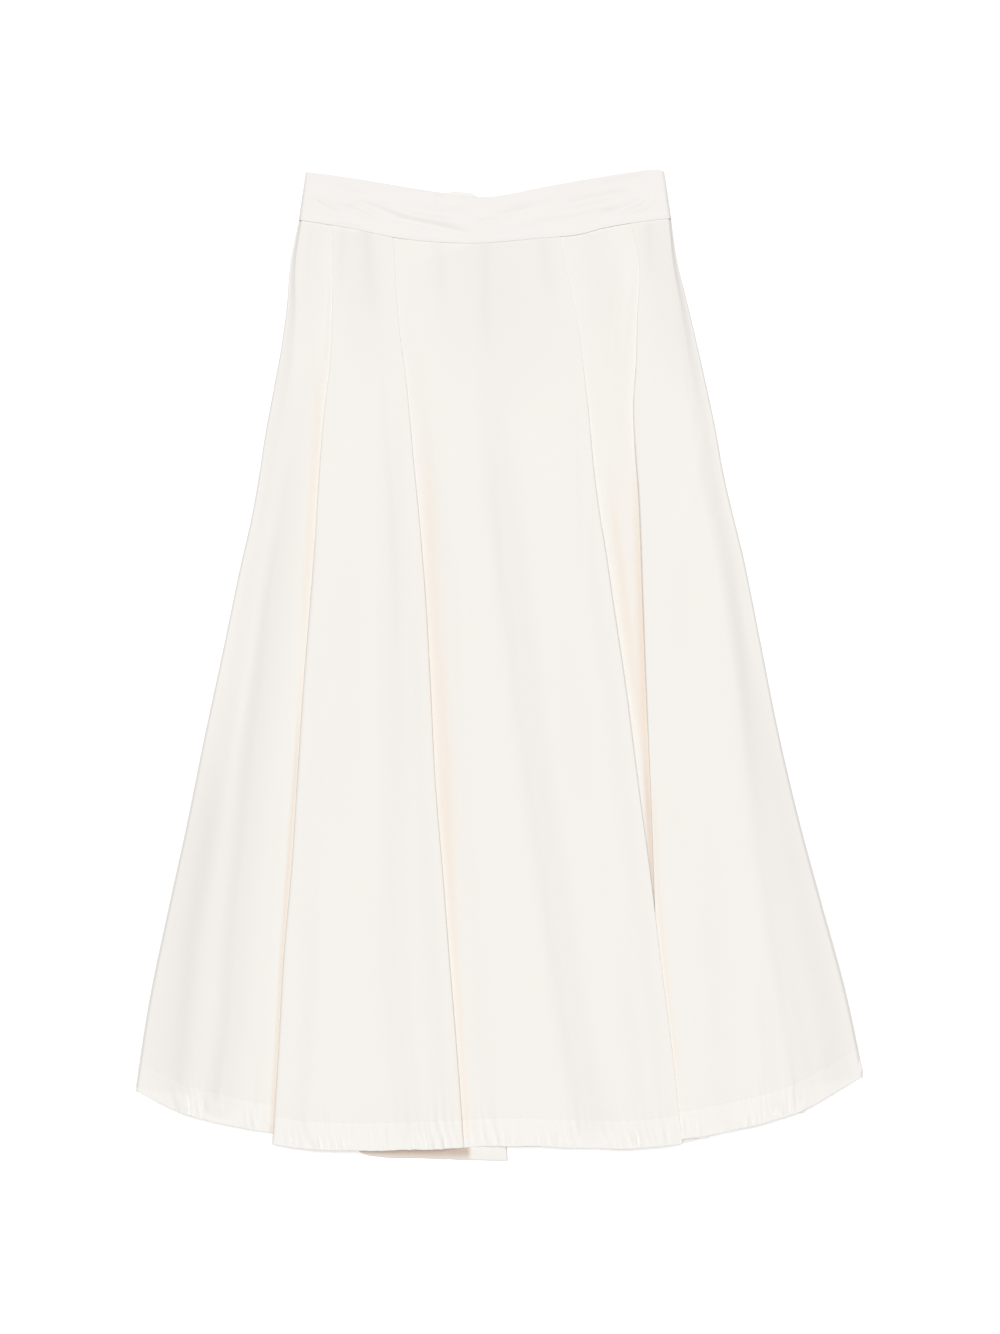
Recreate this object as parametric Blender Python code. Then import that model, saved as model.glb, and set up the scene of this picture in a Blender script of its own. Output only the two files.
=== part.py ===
"""Maxi skirt in ivory cotton, laid flat with its front up.

X runs to the right, Y towards the waist and Z up from the surface under the skirt.
Lengths in the tables are millimetres. Every panel is one wall of cloth that follows its
cross-sections: plies that run across the skirt, joined by turns at the edges of the pleats.
"""

import math

import bpy

MM = 0.001

# Cloth and how close its plies lie
WALL = 1.2
PLY = 1.7
SEAM_GAP = 0.3
TOUCH_GAP = 0.3
SPARE_GAP = 0.1
BAND_WALL = 1.6
POCKET_THICK = 1.6

# Heights of the front, from the surface to the middle of a ply
BACK_STACK_TOP = 2 * PLY + WALL
LOW = BACK_STACK_TOP + TOUCH_GAP + SPARE_GAP + WALL / 2
MID = LOW + PLY
PRESSED = LOW + 2 * PLY
LEFT_CREST = 11.5
BOX_CREST = 15.5
BOX_CROWN = 3.0
CENTRE_CREST = 13.5
CENTRE_FOLD_TOP = 16.5
RIGHT_CREST = 14.0
LEFT_CREST_AT_WAIST = LOW + 1.5
RIGHT_FOLD_LIFT = 2.5

# The deepest ply of the inverted pleat, where it shows between the pleat's two edges
WEDGE_RIDGE = 2.0
WEDGE_TUCK = 2.0
WEDGE_HALF_LEAST = 1.0

# Away from a pleat's edge the cloth beside it stays low for a margin, then rises
EDGE_MARGIN = 3.0
RISE_WIDTH = (14.0, 32.0)
FOLD_RISE_FROM = 50.0
FOLD_RISE_WIDTH = 46.0

# Where things happen down the front, as shares of the way from waist seam to hem
LOOSE_BY = 0.5
CROSSING = (0.5, 0.7)
RIGHT_LIFT_UP = (0.0, 0.2)
RIGHT_LIFT_DOWN = (0.4, 0.65)
RIDGE_UP = (0.0, 0.05)
RIDGE_DOWN = (0.35, 0.55)

# Pleats: how far a fold reaches under its own edge at the waist and at the hem
BOX_DEPTH = (25.0, 46.0)
INVERTED_DEPTH = (28.0, 46.0)
BACK_DEPTH = (22.0, 40.0)

# The inner ply of a back pleat runs flat this far past the fold under it, then comes down
BACK_RAMP_FROM = 3.0
BACK_RAMP = 16.0
BACK_FLAT_LEAST = 2.0

# The sides, where the front rolls down to the back
BAND_ROLL = 2.5
SIDE_ROLL_AT_WAIST = 5.0
SIDE_ROLL_AT_HEM = 13.0

# Front, a row for each section: share of the way from waist seam to hem, then the distance
# from the middle of the skirt to each side and to the edge of each pleat
FRONT_SECTIONS = (
    # share, left_side, box_left, box_right, inverted_left, inverted_right, right_side
    (0.00, -200.5, -166.5, -106.0, 60.5, 130.5, 171.5),
    (0.05, -209.0, -166.5, -103.5, 70.0, 139.5, 177.5),
    (0.10, -212.5, -167.0, -100.0, 79.0, 137.5, 188.0),
    (0.15, -218.5, -169.0, -94.0, 84.5, 136.5, 198.0),
    (0.20, -226.5, -174.5, -89.5, 89.5, 133.5, 207.5),
    (0.25, -234.5, -178.5, -85.5, 93.5, 135.5, 216.5),
    (0.30, -241.0, -181.5, -81.0, 99.0, 139.0, 224.0),
    (0.35, -249.0, -184.5, -77.0, 106.5, 141.0, 234.0),
    (0.40, -259.0, -188.0, -73.5, 113.0, 142.5, 244.5),
    (0.50, -277.0, -195.5, -68.5, 126.5, 146.0, 261.5),
    (0.60, -295.5, -201.5, -64.0, 138.0, 150.0, 278.5),
    (0.70, -313.0, -207.5, -56.5, 150.0, 153.5, 298.5),
    (0.80, -332.0, -215.5, -49.5, 161.0, 156.5, 321.5),
    (0.90, -350.0, -220.5, -42.0, 172.5, 159.5, 345.0),
    (1.00, -363.5, -226.5, -35.5, 182.5, 162.5, 363.5),
)

# Soft valleys that the front sinks into between its pleats
VALLEYS = (
    # share, left_panel, box_pleat, centre_panel, right_panel
    (0.00, -198.0, -129.5, -17.0, 171.0),
    (0.10, -209.0, -121.5, -15.5, 186.0),
    (0.20, -213.5, -112.5, -8.5, 204.0),
    (0.30, -216.5, -100.5, -1.5, 219.5),
    (0.40, -229.5, -100.0, 10.0, 233.5),
    (0.50, -237.5, -101.5, 21.0, 244.5),
    (0.60, -247.5, -97.0, 32.0, 251.5),
    (0.70, -256.5, -99.5, 46.0, 261.5),
    (0.80, -265.5, -102.5, 59.0, 274.5),
    (0.90, -270.0, -95.0, 72.0, 288.5),
    (1.00, -286.5, -82.5, 92.5, 302.5),
)

# How each valley deepens: where it begins and is full, its depth and its half width
VALLEY_FORMS = (
    # name, begins, full, depth, half_width
    ("left_panel", 0.25, 0.55, 4.0, 17.0),
    ("box_pleat", 0.10, 0.40, 3.0, 20.0),
    ("centre_panel", 0.08, 0.40, 5.0, 18.0),
    ("right_panel", 0.30, 0.55, 4.5, 16.0),
)

# Back, a row for each section: edges of its three pleats and the seam down its middle
BACK_SECTIONS = (
    # share, left_pleat, centre_pleat, centre_seam, right_pleat
    (0.00, -112.0, -46.5, -19.5, 60.5),
    (0.30, -155.0, -34.0, -6.0, 128.0),
    (0.60, -214.0, -20.0, 5.0, 202.0),
    (1.00, -297.0, 7.5, 14.0, 304.5),
)

# Height of the waist seam and of the top of the waistband along the skirt's width
WAIST_SEAM = (
    # across, up
    (-200.5, 445.0),
    (-147.5, 436.4),
    (-102.5, 427.0),
    (-60.0, 422.6),
    (-18.5, 421.8),
    (36.5, 426.3),
    (77.5, 430.0),
    (105.0, 437.0),
    (135.0, 442.2),
    (171.5, 446.5),
)
BAND_TOP = (
    # across, up
    (-193.5, 492.6),
    (-147.5, 486.2),
    (-84.0, 475.7),
    (-39.5, 469.0),
    (-19.5, 467.0),
    (4.5, 469.4),
    (50.5, 478.5),
    (120.5, 490.4),
    (155.0, 494.8),
    (164.3, 493.0),
)

# Height of the hem along each panel's width, measured up from the middle of the skirt's length
HEM_LEFT = ((-363.5, -426.0), (-322.5, -445.0), (-287.5, -455.0), (-228.0, -467.0), (-180.0, -470.0))
HEM_BOX = ((-226.5, -478.0), (-205.0, -481.2), (-150.0, -483.4), (-35.5, -481.8))
HEM_CENTRE = ((-82.0, -480.0), (-35.5, -481.6), (8.5, -479.4), (126.5, -482.0), (182.5, -477.4))
HEM_RIGHT = ((150.0, -472.0), (184.0, -473.0), (249.5, -460.0), (295.5, -446.6), (363.5, -411.5))
HEM_BACK_LEFT = (
    # across, up
    (-363.5, -422.0),
    (-287.5, -450.0),
    (-170.0, -478.0),
    (-142.0, -485.0),
    (-104.0, -492.2),
    (7.5, -494.8),
)
HEM_BACK_UNDER = ((-33.0, -481.0), (14.0, -481.5))
HEM_BACK_RIGHT = (
    # across, up
    (14.0, -481.5),
    (85.0, -481.6),
    (182.5, -477.8),
    (209.5, -471.0),
    (276.5, -450.6),
    (304.5, -446.6),
)
HEM_BACK_SIDE = ((260.0, -444.0), (305.0, -438.0), (363.5, -408.0))

# The back of the waistband: its right half starts at the closure, its left half stands prouder
CLOSURE = -19.5
LEFT_END_PROUD = 4.0
LEFT_END_FROM = -60.0
BAND_PROUD_RAMP = 6.0

# Heights of the front waistband at its top edge and at the waist seam, middle of its wall
BAND_LIFT = (4.7, 7.4)
BAND_ROWS = (0.0, 0.35, 0.7, 1.0)
BACK_BAND_ROWS = (0.0, 0.5, 1.0)

# Pocket bags hang inside the side seams: a row for each section of the right one
POCKET_SECTIONS = (
    # down from the waist, inner_edge, outer_edge
    (10.0, 128.0, 163.0),
    (60.0, 134.0, 178.0),
    (120.0, 140.0, 192.0),
    (190.0, 146.0, 205.0),
    (240.0, 150.0, 195.0),
    (275.0, 154.0, 192.0),
    (292.0, 158.0, 183.0),
    (303.0, 164.0, 172.0),
)
LEFT_POCKET_MIRROR = -6.0

# Concealed zip inside the closure
ZIP_LENGTH = 205.0
ZIP_TAPE = 11.0
ZIP_TAPE_THICK = 0.9
ZIP_COIL = 2.4
ZIP_COIL_THICK = 1.5
ZIP_FLOOR = BAND_WALL + TOUCH_GAP
ZIP_TOP_MARGIN = 2.5
SEAM_LENGTH = 903.0

IVORY = (0.905, 0.870, 0.815)
BAND_IVORY = (0.915, 0.872, 0.822)
ZIP_IVORY = (0.86, 0.83, 0.78)


def smooth(value):
    """Eases a share from 0 to 1, and holds it outside that."""
    share = min(max(value, 0.0), 1.0)
    return share * share * (3.0 - 2.0 * share)


def mix(first, second, share):
    return first + (second - first) * share


def ramp(span, value):
    """Eases from 0 at the start of a span to 1 at its end."""
    return smooth((value - span[0]) / (span[1] - span[0]))


def curve(table, position, column=1):
    """Reads a column of a table on a smooth curve through its rows."""
    rows = len(table)
    if position <= table[0][0]:
        return table[0][column]
    if position >= table[-1][0]:
        return table[-1][column]
    at = max(index for index in range(rows - 1) if table[index][0] <= position)
    start, end = table[at], table[at + 1]
    span = end[0] - start[0]

    def slope(index):
        before = table[max(index - 1, 0)]
        after = table[min(index + 1, rows - 1)]
        return (after[column] - before[column]) / (after[0] - before[0])

    share = (position - start[0]) / span
    square, cube = share ** 2, share ** 3
    return (
        (2 * cube - 3 * square + 1) * start[column]
        + (cube - 2 * square + share) * span * slope(at)
        + (3 * square - 2 * cube) * end[column]
        + (cube - square) * span * slope(at + 1)
    )


class Section:
    """One cross-section of a panel: the middle of its cloth as points across, up and at the hem."""

    def __init__(self):
        self.points = []

    def ply(self, start, end, count, height, hem):
        """Runs a ply from start to end, with its height and its hem given by functions."""
        for index in range(count):
            across = mix(start, end, index / (count - 1))
            self.points.append((across, height(across), hem(across)))

    def plies(self, stops, counts, height, hem):
        """Runs one ply through several stops, with its own count of points between each two."""
        for start, end, count in zip(stops, stops[1:], counts):
            self.ply(start, end, count, height, hem)
            self.points.pop()
        self.points.append((stops[-1], height(stops[-1]), hem(stops[-1])))

    def turn(self, edge, side, low, high, count, hem):
        """Turns the cloth at a pleat's edge; side is 1 where the edge faces right, -1 left."""
        radius = abs(high - low) / 2
        centre = edge - side * (radius + WALL / 2)
        middle = (low + high) / 2
        for index in range(1, count + 1):
            angle = math.pi * index / (count + 1)
            across = centre + side * radius * math.sin(angle)
            self.points.append((across, middle + (low - middle) * math.cos(angle), hem))

    def side(self, edge, side, roll, floor, height, count, hem):
        """Rolls the cloth down at the side of the skirt; the points run outwards."""
        centre = edge - side * (roll + WALL / 2)
        for index in range(1, count + 1):
            angle = math.pi / 2 * index / count
            across = centre + side * roll * math.sin(angle)
            self.points.append((across, floor + (height - floor) * math.cos(angle), hem))


def turn_start(edge, side, low, high):
    """Where a flat ply stops and its turn begins."""
    return edge - side * (abs(high - low) / 2 + WALL / 2)


def level(value):
    return lambda across: value


def hem_line(table):
    return lambda across: curve(table, across)


def hem_between(start, end, start_up, end_up):
    return lambda across: mix(start_up, end_up, (across - start) / (end - start))


def valley(name, share, across):
    """Depth of one soft valley at a place across a section."""
    names = [form[0] for form in VALLEY_FORMS]
    column = names.index(name)
    begins, full, depth, half_width = VALLEY_FORMS[column][1:]
    centre = curve(VALLEYS, share, column + 1)
    deep = depth * ramp((begins, full), share)
    return deep * math.exp(-(((across - centre) / half_width) ** 2))


def front_section(share):
    """The front panel's section at a share of the way from the waist seam to the hem."""
    left, box_left, box_right, inverted_left, inverted_right, right = (
        curve(FRONT_SECTIONS, share, column) for column in range(1, 7)
    )
    loose = smooth(share / LOOSE_BY)
    roll = mix(SIDE_ROLL_AT_WAIST, SIDE_ROLL_AT_HEM, loose)
    rise = mix(*RISE_WIDTH, loose)
    box_depth = mix(*BOX_DEPTH, share)
    inverted_depth = mix(*INVERTED_DEPTH, share)
    box_top = mix(PRESSED, BOX_CREST, loose)
    centre_top = mix(PRESSED, CENTRE_CREST, loose)
    fold_top = mix(PRESSED, CENTRE_FOLD_TOP, loose)
    right_top = mix(PRESSED, RIGHT_CREST, loose)
    left_top = mix(LEFT_CREST_AT_WAIST, LEFT_CREST, loose)
    fold_mid = mix(MID, MID + 2 * PLY, ramp(CROSSING, share))
    lifted = ramp(RIGHT_LIFT_UP, share) * (1 - ramp(RIGHT_LIFT_DOWN, share))
    right_start = PRESSED + RIGHT_FOLD_LIFT * lifted
    nearest = max(inverted_left, inverted_right) + EDGE_MARGIN
    wedge_middle = (inverted_left + inverted_right) / 2
    wedge_left = min(inverted_left - WEDGE_TUCK, wedge_middle - WEDGE_HALF_LEAST)
    wedge_right = max(inverted_right + WEDGE_TUCK, wedge_middle + WEDGE_HALF_LEAST)
    ridge = WEDGE_RIDGE * ramp(RIDGE_UP, share) * (1 - ramp(RIDGE_DOWN, share))

    def left_height(across):
        risen = mix(LOW, left_top, smooth((box_left - EDGE_MARGIN - across) / rise))
        return risen - valley("left_panel", share, across)

    def box_height(across):
        along = (across - box_left) / (box_right - box_left)
        crown = BOX_CROWN * loose * math.sin(math.pi * min(max(along, 0.0), 1.0))
        return box_top + crown - valley("box_pleat", share, across)

    def centre_height(across):
        risen = mix(LOW, centre_top, smooth((across - box_right - EDGE_MARGIN) / rise))
        sunk = risen - valley("centre_panel", share, across)
        fold_start = inverted_left - FOLD_RISE_FROM
        return mix(sunk, fold_top, smooth((across - fold_start) / FOLD_RISE_WIDTH))

    def wedge_height(across):
        half = (wedge_right - wedge_left) / 2
        off = min(abs(across - wedge_middle) / half, 1.0)
        return LOW + ridge * math.cos(math.pi / 2 * off) ** 2

    def right_height(across):
        risen = mix(right_start, right_top, smooth((across - nearest) / rise))
        return risen - valley("right_panel", share, across)

    section = Section()
    left_flat = left + roll + WALL / 2
    section.side(left, -1, roll, WALL + TOUCH_GAP, left_height(left_flat), 4, HEM_LEFT[0][1])
    section.points.reverse()
    under_box = turn_start(box_left + box_depth, 1, LOW, MID)
    section.ply(left_flat, under_box, 11, left_height, hem_line(HEM_LEFT))
    section.turn(box_left + box_depth, 1, LOW, MID, 2, HEM_LEFT[-1][1])
    box_edge = turn_start(box_left, -1, MID, box_height(box_left))
    hem_back = hem_between(under_box, box_edge, HEM_LEFT[-1][1], HEM_BOX[0][1])
    section.ply(under_box, box_edge, 3, level(MID), hem_back)
    section.turn(box_left, -1, MID, box_height(box_left), 4, HEM_BOX[0][1])
    far_edge = turn_start(box_right, 1, MID, box_height(box_right))
    section.ply(box_edge, far_edge, 9, box_height, hem_line(HEM_BOX))
    section.turn(box_right, 1, box_height(box_right), MID, 4, HEM_BOX[-1][1])
    under_right = turn_start(box_right - box_depth, -1, LOW, MID)
    hem_back = hem_between(far_edge, under_right, HEM_BOX[-1][1], HEM_CENTRE[0][1])
    section.ply(far_edge, under_right, 3, level(MID), hem_back)
    section.turn(box_right - box_depth, -1, MID, LOW, 2, HEM_CENTRE[0][1])
    fold_edge = turn_start(inverted_left, 1, fold_mid, fold_top)
    section.plies((under_right, box_right, fold_edge), (3, 15), centre_height, hem_line(HEM_CENTRE))
    section.turn(inverted_left, 1, fold_top, fold_mid, 4, HEM_CENTRE[-1][1])
    under_fold = turn_start(inverted_left - inverted_depth, -1, LOW, fold_mid)
    under_end = turn_start(inverted_right + inverted_depth, 1, LOW, MID)
    deep_hem = hem_between(under_fold, under_end, HEM_CENTRE[-1][1], HEM_RIGHT[0][1])
    section.ply(fold_edge, under_fold, 3, level(fold_mid), level(HEM_CENTRE[-1][1]))
    section.turn(inverted_left - inverted_depth, -1, fold_mid, LOW, 3, HEM_CENTRE[-1][1])
    section.plies((under_fold, wedge_left, wedge_right, under_end), (2, 7, 2), wedge_height, deep_hem)
    section.turn(inverted_right + inverted_depth, 1, LOW, MID, 2, HEM_RIGHT[0][1])
    right_edge = turn_start(inverted_right, -1, MID, right_start)
    section.ply(under_end, right_edge, 3, level(MID), level(HEM_RIGHT[0][1]))
    section.turn(inverted_right, -1, MID, right_start, 3, HEM_RIGHT[0][1])
    right_flat = right - roll - WALL / 2
    section.ply(right_edge, right_flat, 13, right_height, hem_line(HEM_RIGHT))
    section.side(right, 1, roll, WALL + TOUCH_GAP, right_height(right_flat), 4, HEM_RIGHT[-1][1])
    return section.points


def back_levels():
    low = WALL / 2
    return low, low + PLY, low + 2 * PLY


def back_left_section(share):
    """The left half of the back, from the side to the seam down the middle."""
    side = curve(FRONT_SECTIONS, share, 1)
    pleat = curve(BACK_SECTIONS, share, 1)
    centre = curve(BACK_SECTIONS, share, 2)
    seam = curve(BACK_SECTIONS, share, 3) - SEAM_GAP / 2
    depth = mix(*BACK_DEPTH, share)
    low, mid, top = back_levels()

    off_pleat = pleat + depth + BACK_RAMP_FROM
    onto_centre = centre - depth - BACK_RAMP_FROM
    between = (off_pleat + onto_centre) / 2
    down_at = min(off_pleat + BACK_RAMP, between - BACK_FLAT_LEAST / 2)
    up_at = max(onto_centre - BACK_RAMP, between + BACK_FLAT_LEAST / 2)

    def inner_height(across):
        from_pleat = smooth((across - off_pleat) / BACK_RAMP)
        from_centre = smooth((onto_centre - across) / BACK_RAMP)
        return mix(top, low, from_pleat * from_centre)

    section = Section()
    under_pleat = turn_start(pleat + depth, 1, low, mid)
    pleat_edge = turn_start(pleat, -1, mid, top)
    centre_edge = turn_start(centre, 1, mid, top)
    under_centre = turn_start(centre - depth, -1, low, mid)
    hem = hem_line(HEM_BACK_LEFT)
    section.ply(side, under_pleat, 8, level(low), hem)
    section.turn(pleat + depth, 1, low, mid, 2, hem(under_pleat))
    section.ply(under_pleat, pleat_edge, 2, level(mid), hem)
    section.turn(pleat, -1, mid, top, 2, hem(pleat_edge))
    stops = (pleat_edge, off_pleat, down_at, up_at, onto_centre, centre_edge)
    section.plies(stops, (2, 5, 9, 5, 2), inner_height, hem)
    section.turn(centre, 1, top, mid, 2, hem(centre_edge))
    returning = hem_between(centre_edge, under_centre, hem(centre), HEM_BACK_UNDER[0][1])
    section.ply(centre_edge, under_centre, 2, level(mid), returning)
    section.turn(centre - depth, -1, mid, low, 2, HEM_BACK_UNDER[0][1])
    section.ply(under_centre, seam, 3, level(low), hem_line(HEM_BACK_UNDER))
    return section.points


def back_right_section(share):
    """The right half of the back, from the seam down the middle to the side."""
    side = curve(FRONT_SECTIONS, share, 6)
    pleat = curve(BACK_SECTIONS, share, 4)
    seam = curve(BACK_SECTIONS, share, 3) + SEAM_GAP / 2
    depth = mix(*BACK_DEPTH, share)
    low, mid, top = back_levels()

    onto_pleat = pleat - depth - BACK_RAMP_FROM
    up_at = max(onto_pleat - BACK_RAMP, (seam + onto_pleat) / 2)

    def inner_height(across):
        return mix(top, low, smooth((onto_pleat - across) / BACK_RAMP))

    section = Section()
    pleat_edge = turn_start(pleat, 1, mid, top)
    under_pleat = turn_start(pleat - depth, -1, low, mid)
    hem = hem_line(HEM_BACK_RIGHT)
    section.plies((seam, up_at, onto_pleat, pleat_edge), (10, 5, 2), inner_height, hem)
    section.turn(pleat, 1, top, mid, 2, hem(pleat_edge))
    returning = hem_between(pleat_edge, under_pleat, hem(pleat), HEM_BACK_SIDE[0][1])
    section.ply(pleat_edge, under_pleat, 2, level(mid), returning)
    section.turn(pleat - depth, -1, mid, low, 2, HEM_BACK_SIDE[0][1])
    section.ply(under_pleat, side, 10, level(low), hem_line(HEM_BACK_SIDE))
    return section.points


def panel_rows(section_at):
    """Places a panel's sections down the skirt, from the waist seam to its hem."""
    top_points = section_at(0.0)
    hem_points = section_at(1.0)
    rows = []
    for station in FRONT_SECTIONS:
        share = station[0]
        row = []
        for start, end, (across, up, _) in zip(top_points, hem_points, section_at(share)):
            row.append((across, mix(curve(WAIST_SEAM, start[0]), end[2], share), up))
        rows.append(row)
    return rows


def wall_faces(row_count, column_count):
    """Faces of a closed wall whose upper grid is followed by its lower grid."""
    lower = row_count * column_count

    def at(row, column):
        return row * column_count + column

    faces = []
    for row in range(row_count - 1):
        for column in range(column_count - 1):
            corners = (at(row, column), at(row + 1, column), at(row + 1, column + 1), at(row, column + 1))
            faces.append(corners)
            faces.append(tuple(lower + corner for corner in reversed(corners)))
    for row in range(row_count - 1):
        for column, turned in ((0, False), (column_count - 1, True)):
            edge = (at(row, column), at(row + 1, column))
            side = (edge[1], edge[0], lower + edge[0], lower + edge[1])
            faces.append(tuple(reversed(side)) if turned else side)
    for column in range(column_count - 1):
        for row, turned in ((0, False), (row_count - 1, True)):
            edge = (at(row, column), at(row, column + 1))
            side = (edge[0], edge[1], lower + edge[1], lower + edge[0])
            faces.append(tuple(reversed(side)) if turned else side)
    return faces


def wall_points(rows, thickness):
    """Moves a grid's points half a wall outwards and inwards, square to each section."""
    upper, lower = [], []
    for row in rows:
        for index, (across, along, up) in enumerate(row):
            before = row[max(index - 1, 0)]
            after = row[min(index + 1, len(row) - 1)]
            run, climb = after[0] - before[0], after[2] - before[2]
            length = math.hypot(run, climb)
            shift_across = -climb / length * thickness / 2
            shift_up = run / length * thickness / 2
            upper.append((across + shift_across, along, up + shift_up))
            lower.append((across - shift_across, along, up - shift_up))
    return upper + lower


def cloth_material(name, colour):
    material = bpy.data.materials.new(name)
    material.use_nodes = True
    shader = material.node_tree.nodes["Principled BSDF"]
    shader.inputs["Base Color"].default_value = (*colour, 1.0)
    shader.inputs["Roughness"].default_value = 0.9
    shader.inputs["Metallic"].default_value = 0.0
    return material


def add_object(name, points, faces, colour):
    """Makes one closed solid, with its origin in the middle of its box."""
    centre = [(min(p[axis] for p in points) + max(p[axis] for p in points)) / 2 for axis in range(3)]
    mesh = bpy.data.meshes.new(name)
    mesh.from_pydata([tuple((p[axis] - centre[axis]) * MM for axis in range(3)) for p in points], [], faces)
    mesh.validate()
    mesh.update()
    mesh.shade_smooth()
    mesh.set_sharp_from_angle(angle=math.radians(50))
    mesh.materials.append(cloth_material(name, colour))
    item = bpy.data.objects.new(name, mesh)
    item.location = [value * MM for value in centre]
    bpy.context.collection.objects.link(item)
    return item


def add_wall(name, rows, thickness, colour):
    return add_object(name, wall_points(rows, thickness), wall_faces(len(rows), len(rows[0])), colour)


def band_side(share, column):
    """End of the waistband at a share of the way from its top edge to the waist seam."""
    return mix(BAND_TOP[column][0], WAIST_SEAM[column][0], share)


def band_row(share, positions, top_at):
    """Places points along the waistband at a share of the way down to the waist seam."""
    left, right = band_side(share, 0), band_side(share, -1)
    row = []
    for position in positions:
        across = mix(left, right, position)
        top = top_at(mix(BAND_TOP[0][0], BAND_TOP[-1][0], position))
        seam = curve(WAIST_SEAM, mix(WAIST_SEAM[0][0], WAIST_SEAM[-1][0], position)) + SEAM_GAP
        row.append((across, mix(top, seam, share)))
    return row


def front_band_rows():
    """The front waistband, arched over the back one and rolled down at both ends."""
    count = 30
    rolled = 3
    rows = []
    for share in BAND_ROWS:
        left, right = band_side(share, 0), band_side(share, -1)
        width = right - left
        height = mix(*BAND_LIFT, smooth(share))
        floor = BAND_WALL + TOUCH_GAP
        ends = []
        for index in range(rolled + 1):
            angle = math.pi / 2 * index / rolled
            inset = BAND_WALL / 2 + BAND_ROLL * (1 - math.cos(angle))
            ends.append((inset / width, floor + (height - floor) * math.sin(angle)))
        first = ends[-1][0]
        middle = [(mix(first, 1 - first, index / count), height) for index in range(1, count)]
        profile = ends + middle + [(1 - inset, up) for inset, up in reversed(ends)]
        flat = band_row(share, [place for place, _ in profile], lambda across: curve(BAND_TOP, across))
        rows.append([(across, along, up) for (across, along), (_, up) in zip(flat, profile)])
    return rows


def back_band_rows(start, end):
    """Half of the back waistband, lying on the surface."""
    count = 16

    def top_at(across):
        proud = smooth((across - LEFT_END_FROM) / BAND_PROUD_RAMP) if across < CLOSURE else 0.0
        return curve(BAND_TOP, across) + LEFT_END_PROUD * proud

    positions = [mix(start, end, index / count) for index in range(count + 1)]
    rows = []
    for share in BACK_BAND_ROWS:
        flat = band_row(share, positions, top_at)
        rows.append([(across, along, BAND_WALL / 2) for across, along in flat])
    return rows


def closure_position():
    """Where the closure falls along the waistband, as a share of its length."""
    left, right = BAND_TOP[0][0], BAND_TOP[-1][0]
    return (CLOSURE - left) / (right - left), SEAM_GAP / 2 / (right - left)


def pocket_rows(mirrored):
    """A pocket bag, flat on the inside of the back."""
    count = 6
    height = WALL + TOUCH_GAP + POCKET_THICK / 2
    rows = []
    for down, inner, outer in POCKET_SECTIONS:
        row = []
        for index in range(count + 1):
            across = mix(inner, outer, index / count)
            along = curve(WAIST_SEAM, across) - down
            place = 2 * LEFT_POCKET_MIRROR - across if mirrored else across
            row.append((place, along, height))
        rows.append(list(reversed(row)) if mirrored else row)
    return rows


def zip_solid():
    """Closed zip: a tape with the coil raised along its middle, straight down the closure."""
    top = curve(BAND_TOP, CLOSURE) - ZIP_TOP_MARGIN
    outline = (
        # across, up
        (-ZIP_TAPE, 0.0),
        (ZIP_TAPE, 0.0),
        (ZIP_TAPE, ZIP_TAPE_THICK),
        (ZIP_COIL, ZIP_TAPE_THICK),
        (ZIP_COIL / 2, ZIP_COIL_THICK),
        (-ZIP_COIL / 2, ZIP_COIL_THICK),
        (-ZIP_COIL, ZIP_TAPE_THICK),
        (-ZIP_TAPE, ZIP_TAPE_THICK),
    )
    points = []
    for down in (0.0, ZIP_LENGTH):
        drift = curve(BACK_SECTIONS, down / SEAM_LENGTH, 3)
        points += [(drift + across, top - down, ZIP_FLOOR + up) for across, up in outline]
    count = len(outline)
    sides = [(i, (i + 1) % count, count + (i + 1) % count, count + i) for i in range(count)]
    return points, [tuple(reversed(range(count))), tuple(range(count, 2 * count))] + sides


def main():
    for item in list(bpy.data.objects):
        bpy.data.objects.remove(item, do_unlink=True)
    add_wall("front_panel", panel_rows(front_section), WALL, IVORY)
    add_wall("back_panel_left", panel_rows(back_left_section), WALL, IVORY)
    add_wall("back_panel_right", panel_rows(back_right_section), WALL, IVORY)
    closure, half_gap = closure_position()
    add_wall("waistband_front", front_band_rows(), BAND_WALL, BAND_IVORY)
    add_wall("waistband_back_left", back_band_rows(0.0, closure - half_gap), BAND_WALL, BAND_IVORY)
    add_wall("waistband_back_right", back_band_rows(closure + half_gap, 1.0), BAND_WALL, BAND_IVORY)
    add_wall("pocket_bag_left", pocket_rows(True), POCKET_THICK, IVORY)
    add_wall("pocket_bag_right", pocket_rows(False), POCKET_THICK, IVORY)
    points, faces = zip_solid()
    add_object("back_zip", points, faces, ZIP_IVORY)


main()
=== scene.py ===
"""Ivory cotton maxi skirt, laid flat with its front up: its cloth, waistband, hem and closure.

X runs to the right, Y towards the waist and Z up from the surface that the skirt lies on, in
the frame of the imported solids. Lengths in the tables are millimetres.
"""

from __future__ import annotations

import logging
import math
from dataclasses import dataclass, field
from enum import Enum
from typing import Callable

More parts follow.
